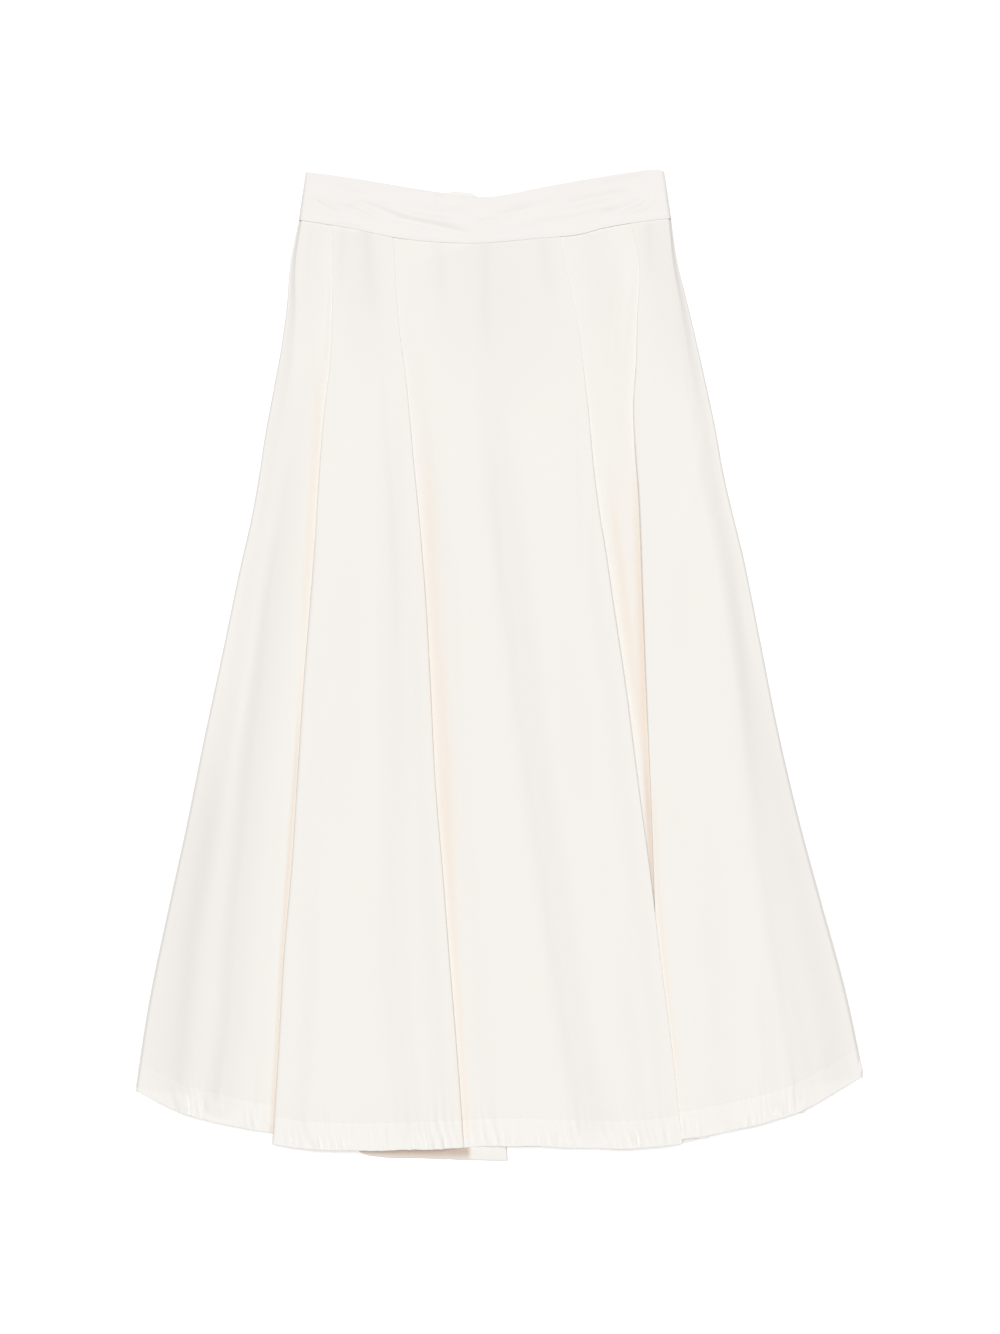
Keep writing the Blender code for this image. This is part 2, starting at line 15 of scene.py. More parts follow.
import bpy
import numpy as np
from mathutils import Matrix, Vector

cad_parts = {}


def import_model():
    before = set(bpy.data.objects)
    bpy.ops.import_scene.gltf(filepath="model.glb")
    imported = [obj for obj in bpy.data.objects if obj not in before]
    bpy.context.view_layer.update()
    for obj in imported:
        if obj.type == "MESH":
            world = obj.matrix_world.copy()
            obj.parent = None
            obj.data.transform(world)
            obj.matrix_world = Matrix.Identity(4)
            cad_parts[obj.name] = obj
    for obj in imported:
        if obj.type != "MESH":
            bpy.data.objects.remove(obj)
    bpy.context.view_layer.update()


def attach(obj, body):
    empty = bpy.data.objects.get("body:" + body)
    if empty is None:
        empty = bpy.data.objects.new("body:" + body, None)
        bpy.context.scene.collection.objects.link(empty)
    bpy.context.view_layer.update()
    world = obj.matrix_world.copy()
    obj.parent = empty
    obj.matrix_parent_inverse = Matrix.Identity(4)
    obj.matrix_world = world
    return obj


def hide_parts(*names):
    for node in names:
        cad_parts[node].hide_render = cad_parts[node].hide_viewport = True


LOG = logging.getLogger("maxi_skirt")
MM = 0.001

Table = tuple[tuple[float, ...], ...]
Places = tuple[tuple[float, float], ...]
Field = Callable[[np.ndarray], np.ndarray]
Values = np.ndarray | float
Colour = tuple[float, float, float]

# Cloth: how thick one ply is, and how its plies stack from the surface up, middle to middle
CLOTH = 0.42
PLY = 1.7
LOW = 5.6
MID = LOW + PLY
PRESSED = LOW + 2 * PLY
BACK_LOW = 0.3

# Place across of the closure, at the top of the waistband
CLOSURE = -19.5

FRONT_SECTIONS: Table = (
    # share, left_side, box_left, box_right, inverted_left, inverted_right, right_side
    (0.00, -200.5, -166.5, -106.0, 60.5, 130.5, 171.5),
    (0.05, -209.0, -166.5, -103.5, 70.0, 139.5, 177.5),
    (0.10, -212.5, -167.0, -100.0, 79.0, 137.5, 188.0),
    (0.15, -218.5, -169.0, -94.0, 84.5, 136.5, 198.0),
    (0.20, -226.5, -174.5, -89.5, 89.5, 133.5, 207.5),
    (0.25, -234.5, -178.5, -85.5, 93.5, 135.5, 216.5),
    (0.30, -241.0, -181.5, -81.0, 99.0, 139.0, 224.0),
    (0.35, -249.0, -184.5, -77.0, 106.5, 141.0, 234.0),
    (0.40, -259.0, -188.0, -73.5, 113.0, 142.5, 244.5),
    (0.50, -277.0, -195.5, -68.5, 126.5, 146.0, 261.5),
    (0.60, -295.5, -201.5, -64.0, 138.0, 150.0, 278.5),
    (0.70, -313.0, -207.5, -56.5, 150.0, 153.5, 298.5),
    (0.80, -332.0, -215.5, -49.5, 161.0, 156.5, 321.5),
    (0.90, -350.0, -220.5, -42.0, 172.5, 159.5, 345.0),
    (1.00, -363.5, -226.5, -35.5, 182.5, 162.5, 363.5),
)
BACK_SECTIONS: Table = (
    # share, left_pleat, centre_pleat, centre_seam, right_pleat
    (0.00, -112.0, -46.5, -19.5, 60.5),
    (0.30, -155.0, -34.0, -6.0, 128.0),
    (0.60, -214.0, -20.0, 5.0, 202.0),
    (1.00, -297.0, 7.5, 14.0, 304.5),
)
WAIST_SEAM: Table = (
    (-200.5, 445.0), (-147.5, 436.4), (-102.5, 427.0), (-60.0, 422.6), (-18.5, 421.8), (36.5, 426.3),
    (77.5, 430.0), (105.0, 437.0), (135.0, 442.2), (171.5, 446.5),
)
BAND_TOP: Table = (
    (-193.5, 492.6), (-147.5, 486.2), (-84.0, 475.7), (-39.5, 469.0), (-19.5, 467.0), (4.5, 469.4),
    (50.5, 478.5), (120.5, 490.4), (155.0, 494.8), (164.3, 493.0),
)
HEM_LEFT: Table = ((-363.5, -426.0), (-322.5, -445.0), (-287.5, -455.0), (-228.0, -467.0), (-180.0, -470.0))
HEM_BOX: Table = ((-226.5, -478.0), (-205.0, -481.2), (-150.0, -483.4), (-35.5, -481.8))
HEM_CENTRE: Table = ((-82.0, -480.0), (-35.5, -481.6), (8.5, -479.4), (126.5, -482.0), (182.5, -477.4))
HEM_RIGHT: Table = ((150.0, -472.0), (184.0, -473.0), (249.5, -460.0), (295.5, -446.6), (363.5, -411.5))
HEM_BACK_LEFT: Table = (
    (-363.5, -422.0), (-287.5, -450.0), (-170.0, -477.5), (-144.0, -480.5), (-140.0, -487.0),
    (-130.0, -490.5), (-104.0, -492.6), (7.5, -494.8),
)
HEM_BACK_UNDER: Table = ((-33.0, -481.0), (14.0, -481.5))
HEM_BACK_RIGHT: Table = (
    (14.0, -481.5), (85.0, -481.6), (182.5, -477.8), (209.5, -471.0), (276.5, -450.6), (304.5, -446.6),
)
HEM_BACK_SIDE: Table = ((260.0, -444.0), (305.0, -438.0), (363.5, -408.0))


class Panel(Enum):
    """The stretches of the front that show, from left to right, and what lies under them."""

    HIDDEN = 0
    LEFT = 1
    BOX = 2
    CENTRE = 3
    WEDGE = 4
    RIGHT = 5
    BACK = 6
    BAND = 7


class Edge(Enum):
    """Which way a pleat's edge or the skirt's side faces."""

    LEFT = -1
    RIGHT = 1


def ease(value: Values) -> Values:
    """Eases a share from 0 to 1 and holds it outside that."""
    share = np.clip(value, 0.0, 1.0)
    return share * share * (3.0 - 2.0 * share)


def ramp(start: float, end: float, value: Values) -> Values:
    """Eases from 0 at start to 1 at end."""
    return ease((value - start) / (end - start))


def swell(rise: tuple[float, float], fall: tuple[float, float], value: Values) -> Values:
    """Eases from 0 to 1 over one stretch and back over another."""
    return ramp(*rise, value) * (1 - ramp(*fall, value))


def bell(value: np.ndarray, middle: float, width: float) -> np.ndarray:
    """A soft bump of height 1 round a middle."""
    return np.exp(-(((value - middle) / width) ** 2))


def mix(first: Values, second: Values, share: Values) -> Values:
    """Blends two values by a share."""
    return first + (second - first) * share


def curve(table: Table, position: Values, column: int = 1) -> Values:
    """Reads a column of a table on a smooth curve through its rows.

    Args:
        table: Rows that begin with their place along the curve.
        position: One place or many.
        column: Which value of each row to read.

    Returns:
        The value at each place, held past both ends.
    """
    rows = np.array(table, dtype=float)
    keys, values = rows[:, 0], rows[:, column]
    slopes = np.empty_like(values)
    slopes[1:-1] = (values[2:] - values[:-2]) / (keys[2:] - keys[:-2])
    slopes[0] = (values[1] - values[0]) / (keys[1] - keys[0])
    slopes[-1] = (values[-1] - values[-2]) / (keys[-1] - keys[-2])
    place = np.clip(position, keys[0], keys[-1])
    at = np.clip(np.searchsorted(keys, place, side="right") - 1, 0, len(keys) - 2)
    span = keys[at + 1] - keys[at]
    share = (place - keys[at]) / span
    square, cube = share**2, share**3
    return (
        (2 * cube - 3 * square + 1) * values[at]
        + (cube - 2 * square + share) * span * slopes[at]
        + (3 * square - 2 * cube) * values[at + 1]
        + (cube - square) * span * slopes[at + 1]
    )


@dataclass(frozen=True)
class Unevenness:
    """Gentle unevenness that no two places share: a sum of waves with seeded directions.

    Attributes:
        seed: Picks the waves.
        across: Length of the longest wave across the cloth, in mm.
        along: Length of the longest wave down the cloth, in mm.
        waves: How many waves are added up.
    """

    seed: int
    across: float
    along: float
    waves: int = 7

    def at(self, x: np.ndarray, y: np.ndarray) -> np.ndarray:
        """The unevenness at places on the cloth.

        Args:
            x: Places across, in mm.
            y: Places up, in mm.

        Returns:
            Values from about -1 to 1.
        """
        draw = np.random.default_rng(self.seed)
        total = np.zeros_like(x)
        for _ in range(self.waves):
            shrink = draw.uniform(0.45, 1.0)
            turn, phase = draw.uniform(-1.0, 1.0), draw.uniform(0.0, 2 * math.pi)
            wave_x = 2 * math.pi * x / (self.across * shrink)
            wave_y = 2 * math.pi * y * turn / (self.along * shrink)
            total += np.sin(wave_x + wave_y + phase) * shrink
        return total / math.sqrt(self.waves)


@dataclass(frozen=True)
class Stroke:
    """A soft stroke on a panel: a trough, a ridge below 0, or painted shade or painted light.

    Attributes:
        panel: The stretch of cloth that it lies on.
        route: Places along it, in mm across and up.
        depth: How far the cloth sinks at its deepest, in mm, or how strong the painted shade or painted
            light is.
        width: Its half width, in mm.
        fade: Shares of its length over which it fades in and out.
        lean: Makes one flank steeper: from -1 to 1, towards the left or the right.
    """

    panel: Panel
    route: Places
    depth: float
    width: float
    fade: tuple[float, float] = (0.3, 0.3)
    lean: float = 0.0

    def at(self, x: np.ndarray, y: np.ndarray) -> np.ndarray:
        """How deep the stroke is at each place.

        Args:
            x: Places across, in mm.
            y: Places up, in mm.

        Returns:
            Depths, negative on a ridge.
        """
        points = np.array(self.route, dtype=float)
        lengths = np.hypot(*np.diff(points, axis=0).T)
        starts = np.concatenate(([0.0], np.cumsum(lengths)))
        nearest = np.full(x.shape, np.inf)
        along = np.zeros(x.shape)
        side = np.zeros(x.shape)
        for index, length in enumerate(lengths):
            first = points[index]
            way = (points[index + 1] - first) / length
            run = (x - first[0]) * way[0] + (y - first[1]) * way[1]
            held = np.clip(run, 0.0, length)
            off_x, off_y = x - first[0] - held * way[0], y - first[1] - held * way[1]
            distance = np.hypot(off_x, off_y)
            closer = distance < nearest
            nearest = np.where(closer, distance, nearest)
            along = np.where(closer, (starts[index] + held) / starts[-1], along)
            side = np.where(closer, np.sign(off_x * way[1] - off_y * way[0]), side)
        fading = ease(along / self.fade[0]) * ease((1 - along) / self.fade[1])
        width = self.width * (1.0 + self.lean * -side * 0.5)
        return self.depth * fading * np.exp(-((nearest / width) ** 2))


@dataclass
class Section:
    """One cross-section of a panel, from its first edge to its last.

    Attributes:
        across: Places across the skirt, in mm.
        up: Heights of the middle of the cloth, in mm.
        hem: Where each place's line meets the hem, in mm.
        panel: Which panel each place belongs to, as the panel's value.
        share: How much of a panel's creases each place takes.
    """

    across: list[np.ndarray] = field(default_factory=list)
    up: list[np.ndarray] = field(default_factory=list)
    hem: list[np.ndarray] = field(default_factory=list)
    panel: list[np.ndarray] = field(default_factory=list)
    share: list[np.ndarray] = field(default_factory=list)

    def add(
        self, across: np.ndarray, up: np.ndarray, hem: np.ndarray, panel: Panel, share: np.ndarray
    ) -> None:
        """Appends places to the section.

        Args:
            across: Places across the skirt, in mm.
            up: Their heights, in mm.
            hem: Where their lines meet the hem, in mm.
            panel: The panel that they belong to.
            share: How much of its creases each takes.
        """
        self.across.append(across)
        self.up.append(up)
        self.hem.append(hem)
        self.panel.append(np.full(len(across), panel.value))
        self.share.append(share)

    def ply(
        self,
        stops: tuple[float, ...],
        counts: tuple[int, ...],
        height: Field,
        hem: Field,
        panel: Panel = Panel.HIDDEN,
    ) -> None:
        """Runs a ply through its stops.

        Args:
            stops: Places across that the ply passes.
            counts: How many steps lie between each two stops.
            height: Height of the cloth at a place across.
            hem: Where the line through a place meets the hem.
            panel: The panel that the ply belongs to.
        """
        runs = [np.linspace(a, b, n, endpoint=False) for a, b, n in zip(stops, stops[1:], counts)]
        across = np.concatenate([*runs, [stops[-1]]])
        self.add(across, height(across), hem(across), panel, np.ones(len(across)))

    def turn(
        self,
        edge: float,
        facing: Edge,
        start: float,
        end: float,
        steps: int,
        hem: float,
        panel: Panel = Panel.HIDDEN,
    ) -> None:
        """Turns the cloth round at a pleat's edge, from one height to another.

        Args:
            edge: Place across of the fold's outermost point.
            facing: Which way the fold's edge faces.
            start: Height before the turn.
            end: Height after it.
            steps: How many points the turn has.
            hem: Where the fold meets the hem.
            panel: The panel on top, whose creases fade out round the turn.
        """
        radius = abs(end - start) / 2
        angle = math.pi * np.arange(1, steps + 1) / (steps + 1)
        middle = (start + end) / 2
        across = edge - facing.value * (radius + CLOTH / 2) + facing.value * radius * np.sin(angle)
        up = middle + (start - middle) * np.cos(angle)
        turned = angle / math.pi
        share = 1 - turned if start > end else turned
        self.add(across, up, np.full(steps, hem), panel, share)

    def side(
        self, edge: float, facing: Edge, roll: float, floor: float, height: float, steps: int, hem: Field
    ) -> None:
        """Lowers the cloth to the skirt's side; a left side is added from its outside inwards.

        Args:
            edge: Place across of the side.
            facing: Which way it faces.
            roll: Width over which the cloth comes down.
            floor: Height at which it ends.
            height: Height from which it comes down.
            steps: How many points the side has.
            hem: Where the line through a place meets the hem.
        """
        out = np.arange(1, steps + 1) / steps
        if facing is Edge.LEFT:
            out = out[::-1]
        across = edge - facing.value * (roll * (1 - out) + CLOTH / 2)
        up = floor + (height - floor) * (1 - ease(out))
        panel = Panel.LEFT if facing is Edge.LEFT else Panel.RIGHT
        self.add(across, up, hem(across), panel, 1 - out**2)


def turn_start(edge: float, facing: Edge, start: float, end: float) -> float:
    """Where a flat ply stops and its turn begins."""
    return edge - facing.value * (abs(end - start) / 2 + CLOTH / 2)


def level(height: float) -> Field:
    """A ply at one height."""
    return lambda across: np.full(len(across), height)


def hem_line(table: Table) -> Field:
    """A hem read from a table."""
    return lambda across: curve(table, across)


def hem_between(start: float, end: float, start_up: float, end_up: float) -> Field:
    """A hem that runs straight between two places across."""
    return lambda across: mix(start_up, end_up, (across - start) / (end - start))


@dataclass
class Grid:
    """The middle of a piece's cloth as a grid of places: rows down the skirt, columns across.

    Attributes:
        x: Places across, in mm.
        y: Places up, in mm.
        z: Heights, in mm.
        panel: Panel values of the places.
        share: How much of a panel's creases each place takes.
        from_seam: Distance below the waist seam, in mm.
        from_hem: Distance above the hem's fold, in mm.
    """

    x: np.ndarray
    y: np.ndarray
    z: np.ndarray
    panel: np.ndarray
    share: np.ndarray
    from_seam: np.ndarray
    from_hem: np.ndarray

    def girth(self) -> np.ndarray:
        """Distance round each row of cloth, in mm, from the middle of the row."""
        steps = np.hypot(np.diff(self.x, axis=1), np.diff(self.z, axis=1))
        run = np.concatenate([np.zeros((len(steps), 1)), np.cumsum(steps, axis=1)], axis=1)
        return run - run[:, -1:] / 2

    def calm(self, steps: int = 3) -> np.ndarray:
        """Share of relief that each place takes: none in hidden plies, and little beside a turn.

        Args:
            steps: How many places beside a turn stay calm, and how many more it fades over.

        Returns:
            Shares from 0 to 1.
        """
        free = np.where(self.panel == Panel.HIDDEN.value, 0.0, self.share)
        for _ in range(steps):
            free = np.minimum(free, np.minimum(np.roll(free, 1, axis=1), np.roll(free, -1, axis=1)))
        for _ in range(steps):
            free = (np.roll(free, 1, axis=1) + 2 * free + np.roll(free, -1, axis=1)) / 4
        return free

    def painted(self, strokes: tuple[Stroke, ...]) -> np.ndarray:
        """The sum of strokes at each place, each on the panel that it lies on.

        Args:
            strokes: The strokes.

        Returns:
            Their depth or shade.
        """
        total = np.zeros(self.x.shape)
        for stroke in strokes:
            mask = self.panel == stroke.panel.value
            if mask.any():
                total[mask] += stroke.at(self.x[mask], self.y[mask])
        return total

    def press(self, creases: tuple[Stroke, ...]) -> None:
        """Sinks the creases into the panels that they lie on."""
        self.z -= self.painted(creases) * self.share


def spread(stretches: Table) -> np.ndarray:
    """Places from stretches of (start, end, step), each place once."""
    runs = [np.linspace(a, b, round(abs(b - a) / step), endpoint=False) for a, b, step in stretches]
    return np.concatenate([*runs, [stretches[-1][1]]])


# Rows of a panel: below the waist seam to the top of the hem, then above the hem's fold
HEM_ZONE = 30.0
PANEL_LENGTH = 903.0
BODY_ROWS: Table = (
    # from, to, step
    (0.0, 20.0, 2.5),
    (20.0, 60.0, 5.0),
    (60.0, 130.0, 7.0),
    (130.0, 190.0, 10.0),
    (190.0, 330.0, 7.8),
    (330.0, 873.0, 22.0),
)
HEM_ROWS: Table = (
    # from, to, step
    (28.6, 25.4, 0.8),
    (25.4, 7.4, 2.0),
    (7.4, 2.0, 1.35),
    (2.0, 0.0, 0.5),
)


def grid_from(
    section_at: Callable[[float], Section], body: Table = BODY_ROWS, near_hem: Table = HEM_ROWS
) -> Grid:
    """Places a panel's sections down the skirt, from the waist seam to the hem.

    Args:
        section_at: Makes the section at a share of the way down.
        body: Rows below the waist seam, as stretches of from, to and step.
        near_hem: Rows above the hem's fold, in the same way.

    Returns:
        The panel's grid.
    """
    top = np.concatenate(section_at(0.0).across)
    hem = np.concatenate(section_at(1.0).hem)
    seam = curve(WAIST_SEAM, top)
    down = spread(body) / (PANEL_LENGTH - HEM_ZONE)
    above = spread(near_hem)
    shares = np.concatenate([down * (1 - HEM_ZONE / PANEL_LENGTH), 1 - above / PANEL_LENGTH])
    rows = [section_at(share) for share in shares]
    x = np.array([np.concatenate(row.across) for row in rows])
    z = np.array([np.concatenate(row.up) for row in rows])
    panel = np.array([np.concatenate(row.panel) for row in rows])
    share = np.array([np.concatenate(row.share) for row in rows])
    y = np.concatenate([seam + (hem + HEM_ZONE - seam) * down[:, None], hem + above[:, None]])
    return Grid(x, y, z, panel, share, seam - y, y - hem)


def edged_shares(near: tuple[float, ...], between: int, margin: float = 0.07) -> np.ndarray:
    """Shares from 0 to 1 that lie closer together at both ends.

    Args:
        near: The first shares, which repeat at the other end.
        between: How many lie in between.
        margin: How far from both ends those start.

    Returns:
        The shares in order.
    """
    first = np.array(near)
    return np.concatenate([first, np.linspace(margin, 1 - margin, between), 1 - first[::-1]])


@dataclass(frozen=True)
class HemTurnUp:
    """The turned-up hem: a second ply inside, a stitch line, and the roping that it causes.

    Attributes:
        depth: Height of the turn-up, in mm.
        ply: Thickness that the turned-up cloth adds, in mm.
        soft: Half the distance over which that thickness ends.
        groove: How deep the stitch line pulls in, and half the width of its groove, in mm.
        pucker: Height of the puckers at the hem's edge, in mm.
        pitch: Usual distance between puckers, in mm.
        slant: How far a pucker leans over for each mm of its height.
        warp: How far a pucker strays from its place, in mm.
        strength: Usual share of a pucker's height, and how far that varies.
        strongest: The most that it reaches.
        fine: How high the fine and the finest puckers are, as shares of the others.
        at_edge: Height above the fold where puckers are highest, and their reach from there, in mm.
        at_line: Share of their height that is left at the stitch line, and their reach from there.
        wander: How far the hem's edge strays from its line, in mm.
        slow: Share of that which changes slowly.
        waves: Unevenness of the puckers' places, their heights, the fine ones and the finest.
        strays: Slow and quick unevenness of the hem's edge.
    """

    depth: float = 27.5
    ply: float = 0.45
    soft: float = 0.8
    groove: tuple[float, float] = (0.3, 1.3)
    pucker: float = 1.0
    pitch: float = 9.0
    slant: float = 0.2
    warp: float = 6.0
    strength: tuple[float, float] = (0.55, 0.45)
    strongest: float = 1.2
    fine: tuple[float, float] = (0.45, 0.5)
    at_edge: tuple[float, float] = (6.0, 13.0)
    at_line: tuple[float, float] = (0.45, 9.0)
    wander: float = 0.5
    slow: float = 0.7
    waves: tuple[Unevenness, ...] = (
        Unevenness(11, 60.0, 220.0),
        Unevenness(12, 130.0, 300.0),
        Unevenness(13, 26.0, 70.0),
        Unevenness(16, 11.0, 45.0, 9),
    )
    strays: tuple[Unevenness, Unevenness] = (Unevenness(14, 60.0, 500.0), Unevenness(15, 17.0, 500.0))

    def doubled(self, above: np.ndarray) -> np.ndarray:
        """Thickness of the second ply at distances above the hem's fold, in mm."""
        return self.ply * (1 - ramp(self.depth - self.soft, self.depth + self.soft, above))

    def relief(self, round_cloth: np.ndarray, above: np.ndarray) -> np.ndarray:
        """How far the cloth stands out near the hem, by its stitch line and its roping.

        Args:
            round_cloth: Distance round the cloth, in mm.
            above: Distance above the hem's fold, in mm.

        Returns:
            Heights in mm.
        """
        warp, swing, fine, finest = (wave.at(round_cloth, above) for wave in self.waves)
        phase = 2 * math.pi * (round_cloth + self.slant * above + self.warp * warp) / self.pitch
        height = np.clip(self.strength[0] + self.strength[1] * swing, 0.0, self.strongest)
        reach = bell(above, *self.at_edge) + self.at_line[0] * bell(above, self.depth, self.at_line[1])
        ropes = height * np.sin(phase) + self.fine[0] * fine + self.fine[1] * finest
        return self.pucker * reach * ropes - self.groove[0] * bell(above, self.depth, self.groove[1])

    def stray(self, round_cloth: np.ndarray, above: np.ndarray) -> np.ndarray:
        """How far the hem strays down or up from its line, in mm, fading out above it."""
        slow, quick = (wave.at(round_cloth, np.zeros_like(above)) for wave in self.strays)
        return self.wander * mix(quick, slow, self.slow) * (1 - ramp(0.0, HEM_ZONE, above))


@dataclass(frozen=True)
class Shell:
    """Makes a closed thin shell from a grid of places.

    Attributes:
        thickness: Thickness of the cloth, in mm.
        round_edge: Distance over which its edges round off, in mm.
        thin: Share of the thickness that is left at the very edge.
    """

    thickness: float = CLOTH
    round_edge: float = 0.8
    thin: float = 0.35

    def build(
        self, name: str, grid: Grid, edge: np.ndarray, outer: Values = 0.0, inner: Values = 0.0
    ) -> bpy.types.Object:
        """Builds the shell's mesh, with the cloth's own measure as its texture places.

        Args:
            name: The object's name.
            grid: The middle of the cloth.
            edge: Distance to the nearest edge that rounds off, in mm.
            outer: What the outer face adds to half the thickness, in mm.
            inner: What the inner face adds to half the thickness, in mm.

        Returns:
            The new object.
        """
        normal = self.normals(grid)
        reach = np.clip(edge / self.round_edge, 0.0, 1.0)
        rounding = mix(self.thin, 1.0, np.sqrt(1 - (1 - reach) ** 2))
        out = (self.thickness / 2 + outer) * rounding
        back = (self.thickness / 2 + inner) * rounding
        middle = np.stack([grid.x, grid.y, grid.z], axis=-1)
        upper = middle + normal * out[..., None]
        lower = middle - normal * back[..., None]
        rows, columns = grid.x.shape
        points = np.concatenate([upper.reshape(-1, 3), lower.reshape(-1, 3)]) * MM
        faces = self.faces(np.arange(rows * columns).reshape(rows, columns))
        measure = np.stack([grid.girth(), -grid.from_seam], axis=-1).reshape(-1, 2) * MM
        item = add_mesh(name, points, faces, np.concatenate([measure, measure]))
        smooth = np.arange(len(faces)) < 2 * (rows - 1) * (columns - 1)
        item.data.polygons.foreach_set("use_smooth", smooth)
        return item

    @staticmethod
    def normals(grid: Grid) -> np.ndarray:
        """Which way the outer face looks, square to each section.

        Args:
            grid: The middle of the cloth.

        Returns:
            Directions of length 1.
        """
        run, climb = np.gradient(grid.x, axis=1), np.gradient(grid.z, axis=1)
        length = np.hypot(run, climb)
        return np.stack([-climb / length, np.zeros_like(run), run / length], axis=-1)

    def line(self, grid: Grid, above: float, outer: float = 0.0) -> np.ndarray:
        """The outer face at one distance above the hem's fold.

        Args:
            grid: The middle of the cloth.
            above: The distance, in mm.
            outer: What the outer face adds to half the thickness, in mm.

        Returns:
            Places in mm, then which way the face looks, in six columns.
        """
        middle = grid.x.shape[1] // 2
        row = int(np.argmin(np.abs(grid.from_hem[:, middle] - above)))
        normal = self.normals(grid)[row]
        place = np.stack([grid.x[row], grid.y[row], grid.z[row]], axis=-1)
        place = place + normal * (self.thickness / 2 + outer)
        return np.concatenate([place, normal], axis=1)

    @staticmethod
    def faces(index: np.ndarray) -> np.ndarray:
        """Faces of the outer grid, the inner grid and the rims between them.

        Args:
            index: Point numbers of the outer grid.

        Returns:
            Four point numbers a face.
        """
        lower = index + index.size

        def quads(grid: np.ndarray) -> np.ndarray:
            """Quads between neighbouring rows and columns."""
            corners = (grid[:-1, :-1], grid[1:, :-1], grid[1:, 1:], grid[:-1, 1:])
            return np.stack([corner.ravel() for corner in corners], axis=-1)

        def rim(line: np.ndarray, under: np.ndarray) -> np.ndarray:
            """Quads that close one edge of the shell."""
            return np.stack([line[:-1], line[1:], under[1:], under[:-1]], axis=-1)

        return np.concatenate(
            [
                quads(index),
                quads(lower)[:, ::-1],
                rim(index[0], lower[0]),
                rim(index[-1], lower[-1])[:, ::-1],
                rim(index[:, 0], lower[:, 0])[:, ::-1],
                rim(index[:, -1], lower[:, -1]),
            ]
        )


def add_mesh(name: str, points: np.ndarray, faces: np.ndarray, measure: np.ndarray) -> bpy.types.Object:
    """Adds a mesh whose UV map holds each point's place on the flat cloth.

    Args:
        name: The object's name.
        points: Places in metres.
        faces: Point numbers, four a face.
        measure: Places on the flat cloth, in metres.

    Returns:
        The new object.
    """
    mesh = bpy.data.meshes.new(name)
    mesh.from_pydata(points.tolist(), [], faces.tolist())
    mesh.shade_smooth()
    layer = mesh.uv_layers.new(name="cloth")
    corners = np.empty(len(mesh.loops), dtype=np.int32)
    mesh.loops.foreach_get("vertex_index", corners)
    layer.data.foreach_set("uv", measure[corners].astype(np.float32).ravel())
    item = bpy.data.objects.new(name, mesh)
    bpy.context.scene.collection.objects.link(item)
    return item


def lay_shade(item: bpy.types.Object, kind: str, shade: np.ndarray) -> None:
    """Writes how strong one kind of painted shade, or the doubled tone with its painted light, is at each
    point of a shell's two faces.

    Args:
        item: The shell.
        kind: The kind of shade, as SHADES names it.
        shade: Its strength at each place of the shell's grid.
    """
    value = np.clip(shade, 0.0, 1.0).ravel()
    both = np.concatenate([value, value]).astype(np.float32)
    item.data.attributes.new(kind, "FLOAT", "POINT").data.foreach_set("value", both)


@dataclass(frozen=True)
class Tube:
    """A thread or coil: a round tube along places, closed at both ends.

    Attributes:
        radius: Radius, in mm.
        sides: How many sides it has.
        tip: Share of the radius that is left at both ends.
        upright: A direction that no thread runs in, from which its sides are set off.
    """

    radius: float
    sides: int = 6
    tip: float = 0.35
    upright: tuple[float, float, float] = (0.013, 0.017, 1.0)

    def along(self, path: np.ndarray) -> tuple[np.ndarray, np.ndarray]:
        """Points and faces of the tube along a path.

        Args:
            path: Places along it, in mm.

        Returns:
            The points, in mm, and the faces, four point numbers each.
        """
        way = np.gradient(path, axis=0)
        way /= np.linalg.norm(way, axis=1)[:, None]
        aside = np.cross(way, np.array(self.upright))
        aside /= np.linalg.norm(aside, axis=1)[:, None]
        lift = np.cross(aside, way)
        angle = 2 * math.pi * np.arange(self.sides) / self.sides
        taper = np.ones(len(path))
        taper[0] = taper[-1] = self.tip
        ring = np.cos(angle)[None, :, None] * aside[:, None] + np.sin(angle)[None, :, None] * lift[:, None]
        points = path[:, None] + ring * (self.radius * taper)[:, None, None]
        index = np.arange(len(path) * self.sides).reshape(len(path), self.sides)
        index = np.concatenate([index, index[:, :1]], axis=1)
        corners = (index[:-1, :-1], index[:-1, 1:], index[1:, 1:], index[1:, :-1])
        faces = np.stack([corner.ravel() for corner in corners], axis=-1)
        half = self.sides // 2
        caps = []
        for row, turned in ((index[0], True), (index[-1], False)):
            for step in range(half - 1):
                cap = [row[step], row[step + 1], row[self.sides - 2 - step], row[self.sides - 1 - step]]
                caps.append(cap[::-1] if turned else cap)
        return points.reshape(-1, 3), np.concatenate([faces, np.array(caps)])


def join(parts: list[tuple[np.ndarray, np.ndarray]]) -> tuple[np.ndarray, np.ndarray]:
    """Joins parts into one mesh.

    Args:
        parts: Points and faces of each.

    Returns:
        All points and all faces.
    """
    points, faces, count = [], [], 0
    for some_points, some_faces in parts:
        points.append(some_points)
        faces.append(some_faces + count)
        count += len(some_points)
    return np.concatenate(points), np.concatenate(faces)


@dataclass
class Piece:
    """A finished piece of the skirt and how it goes into the frame.

    Attributes:
        item: The object.
        nodes: The solids that it stands for.
        slot: The record's material slot.
        hem_line: The stitch line of its hem, where it has one.
    """

    item: bpy.types.Object
    nodes: tuple[str, ...]
    slot: str
    hem_line: np.ndarray | None = None

    def settle(self, material: bpy.types.Material) -> bpy.types.Object:
        """Dresses the piece and ties it to the skirt's body.

        Args:
            material: The finish of the piece.

        Returns:
            The object.
        """
        self.item.data.materials.append(material)
        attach(self.item, "root")
        if self.nodes:
            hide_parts(*self.nodes)
        LOG.info("%s: %d faces", self.item.name, len(self.item.data.polygons))
        return self.item


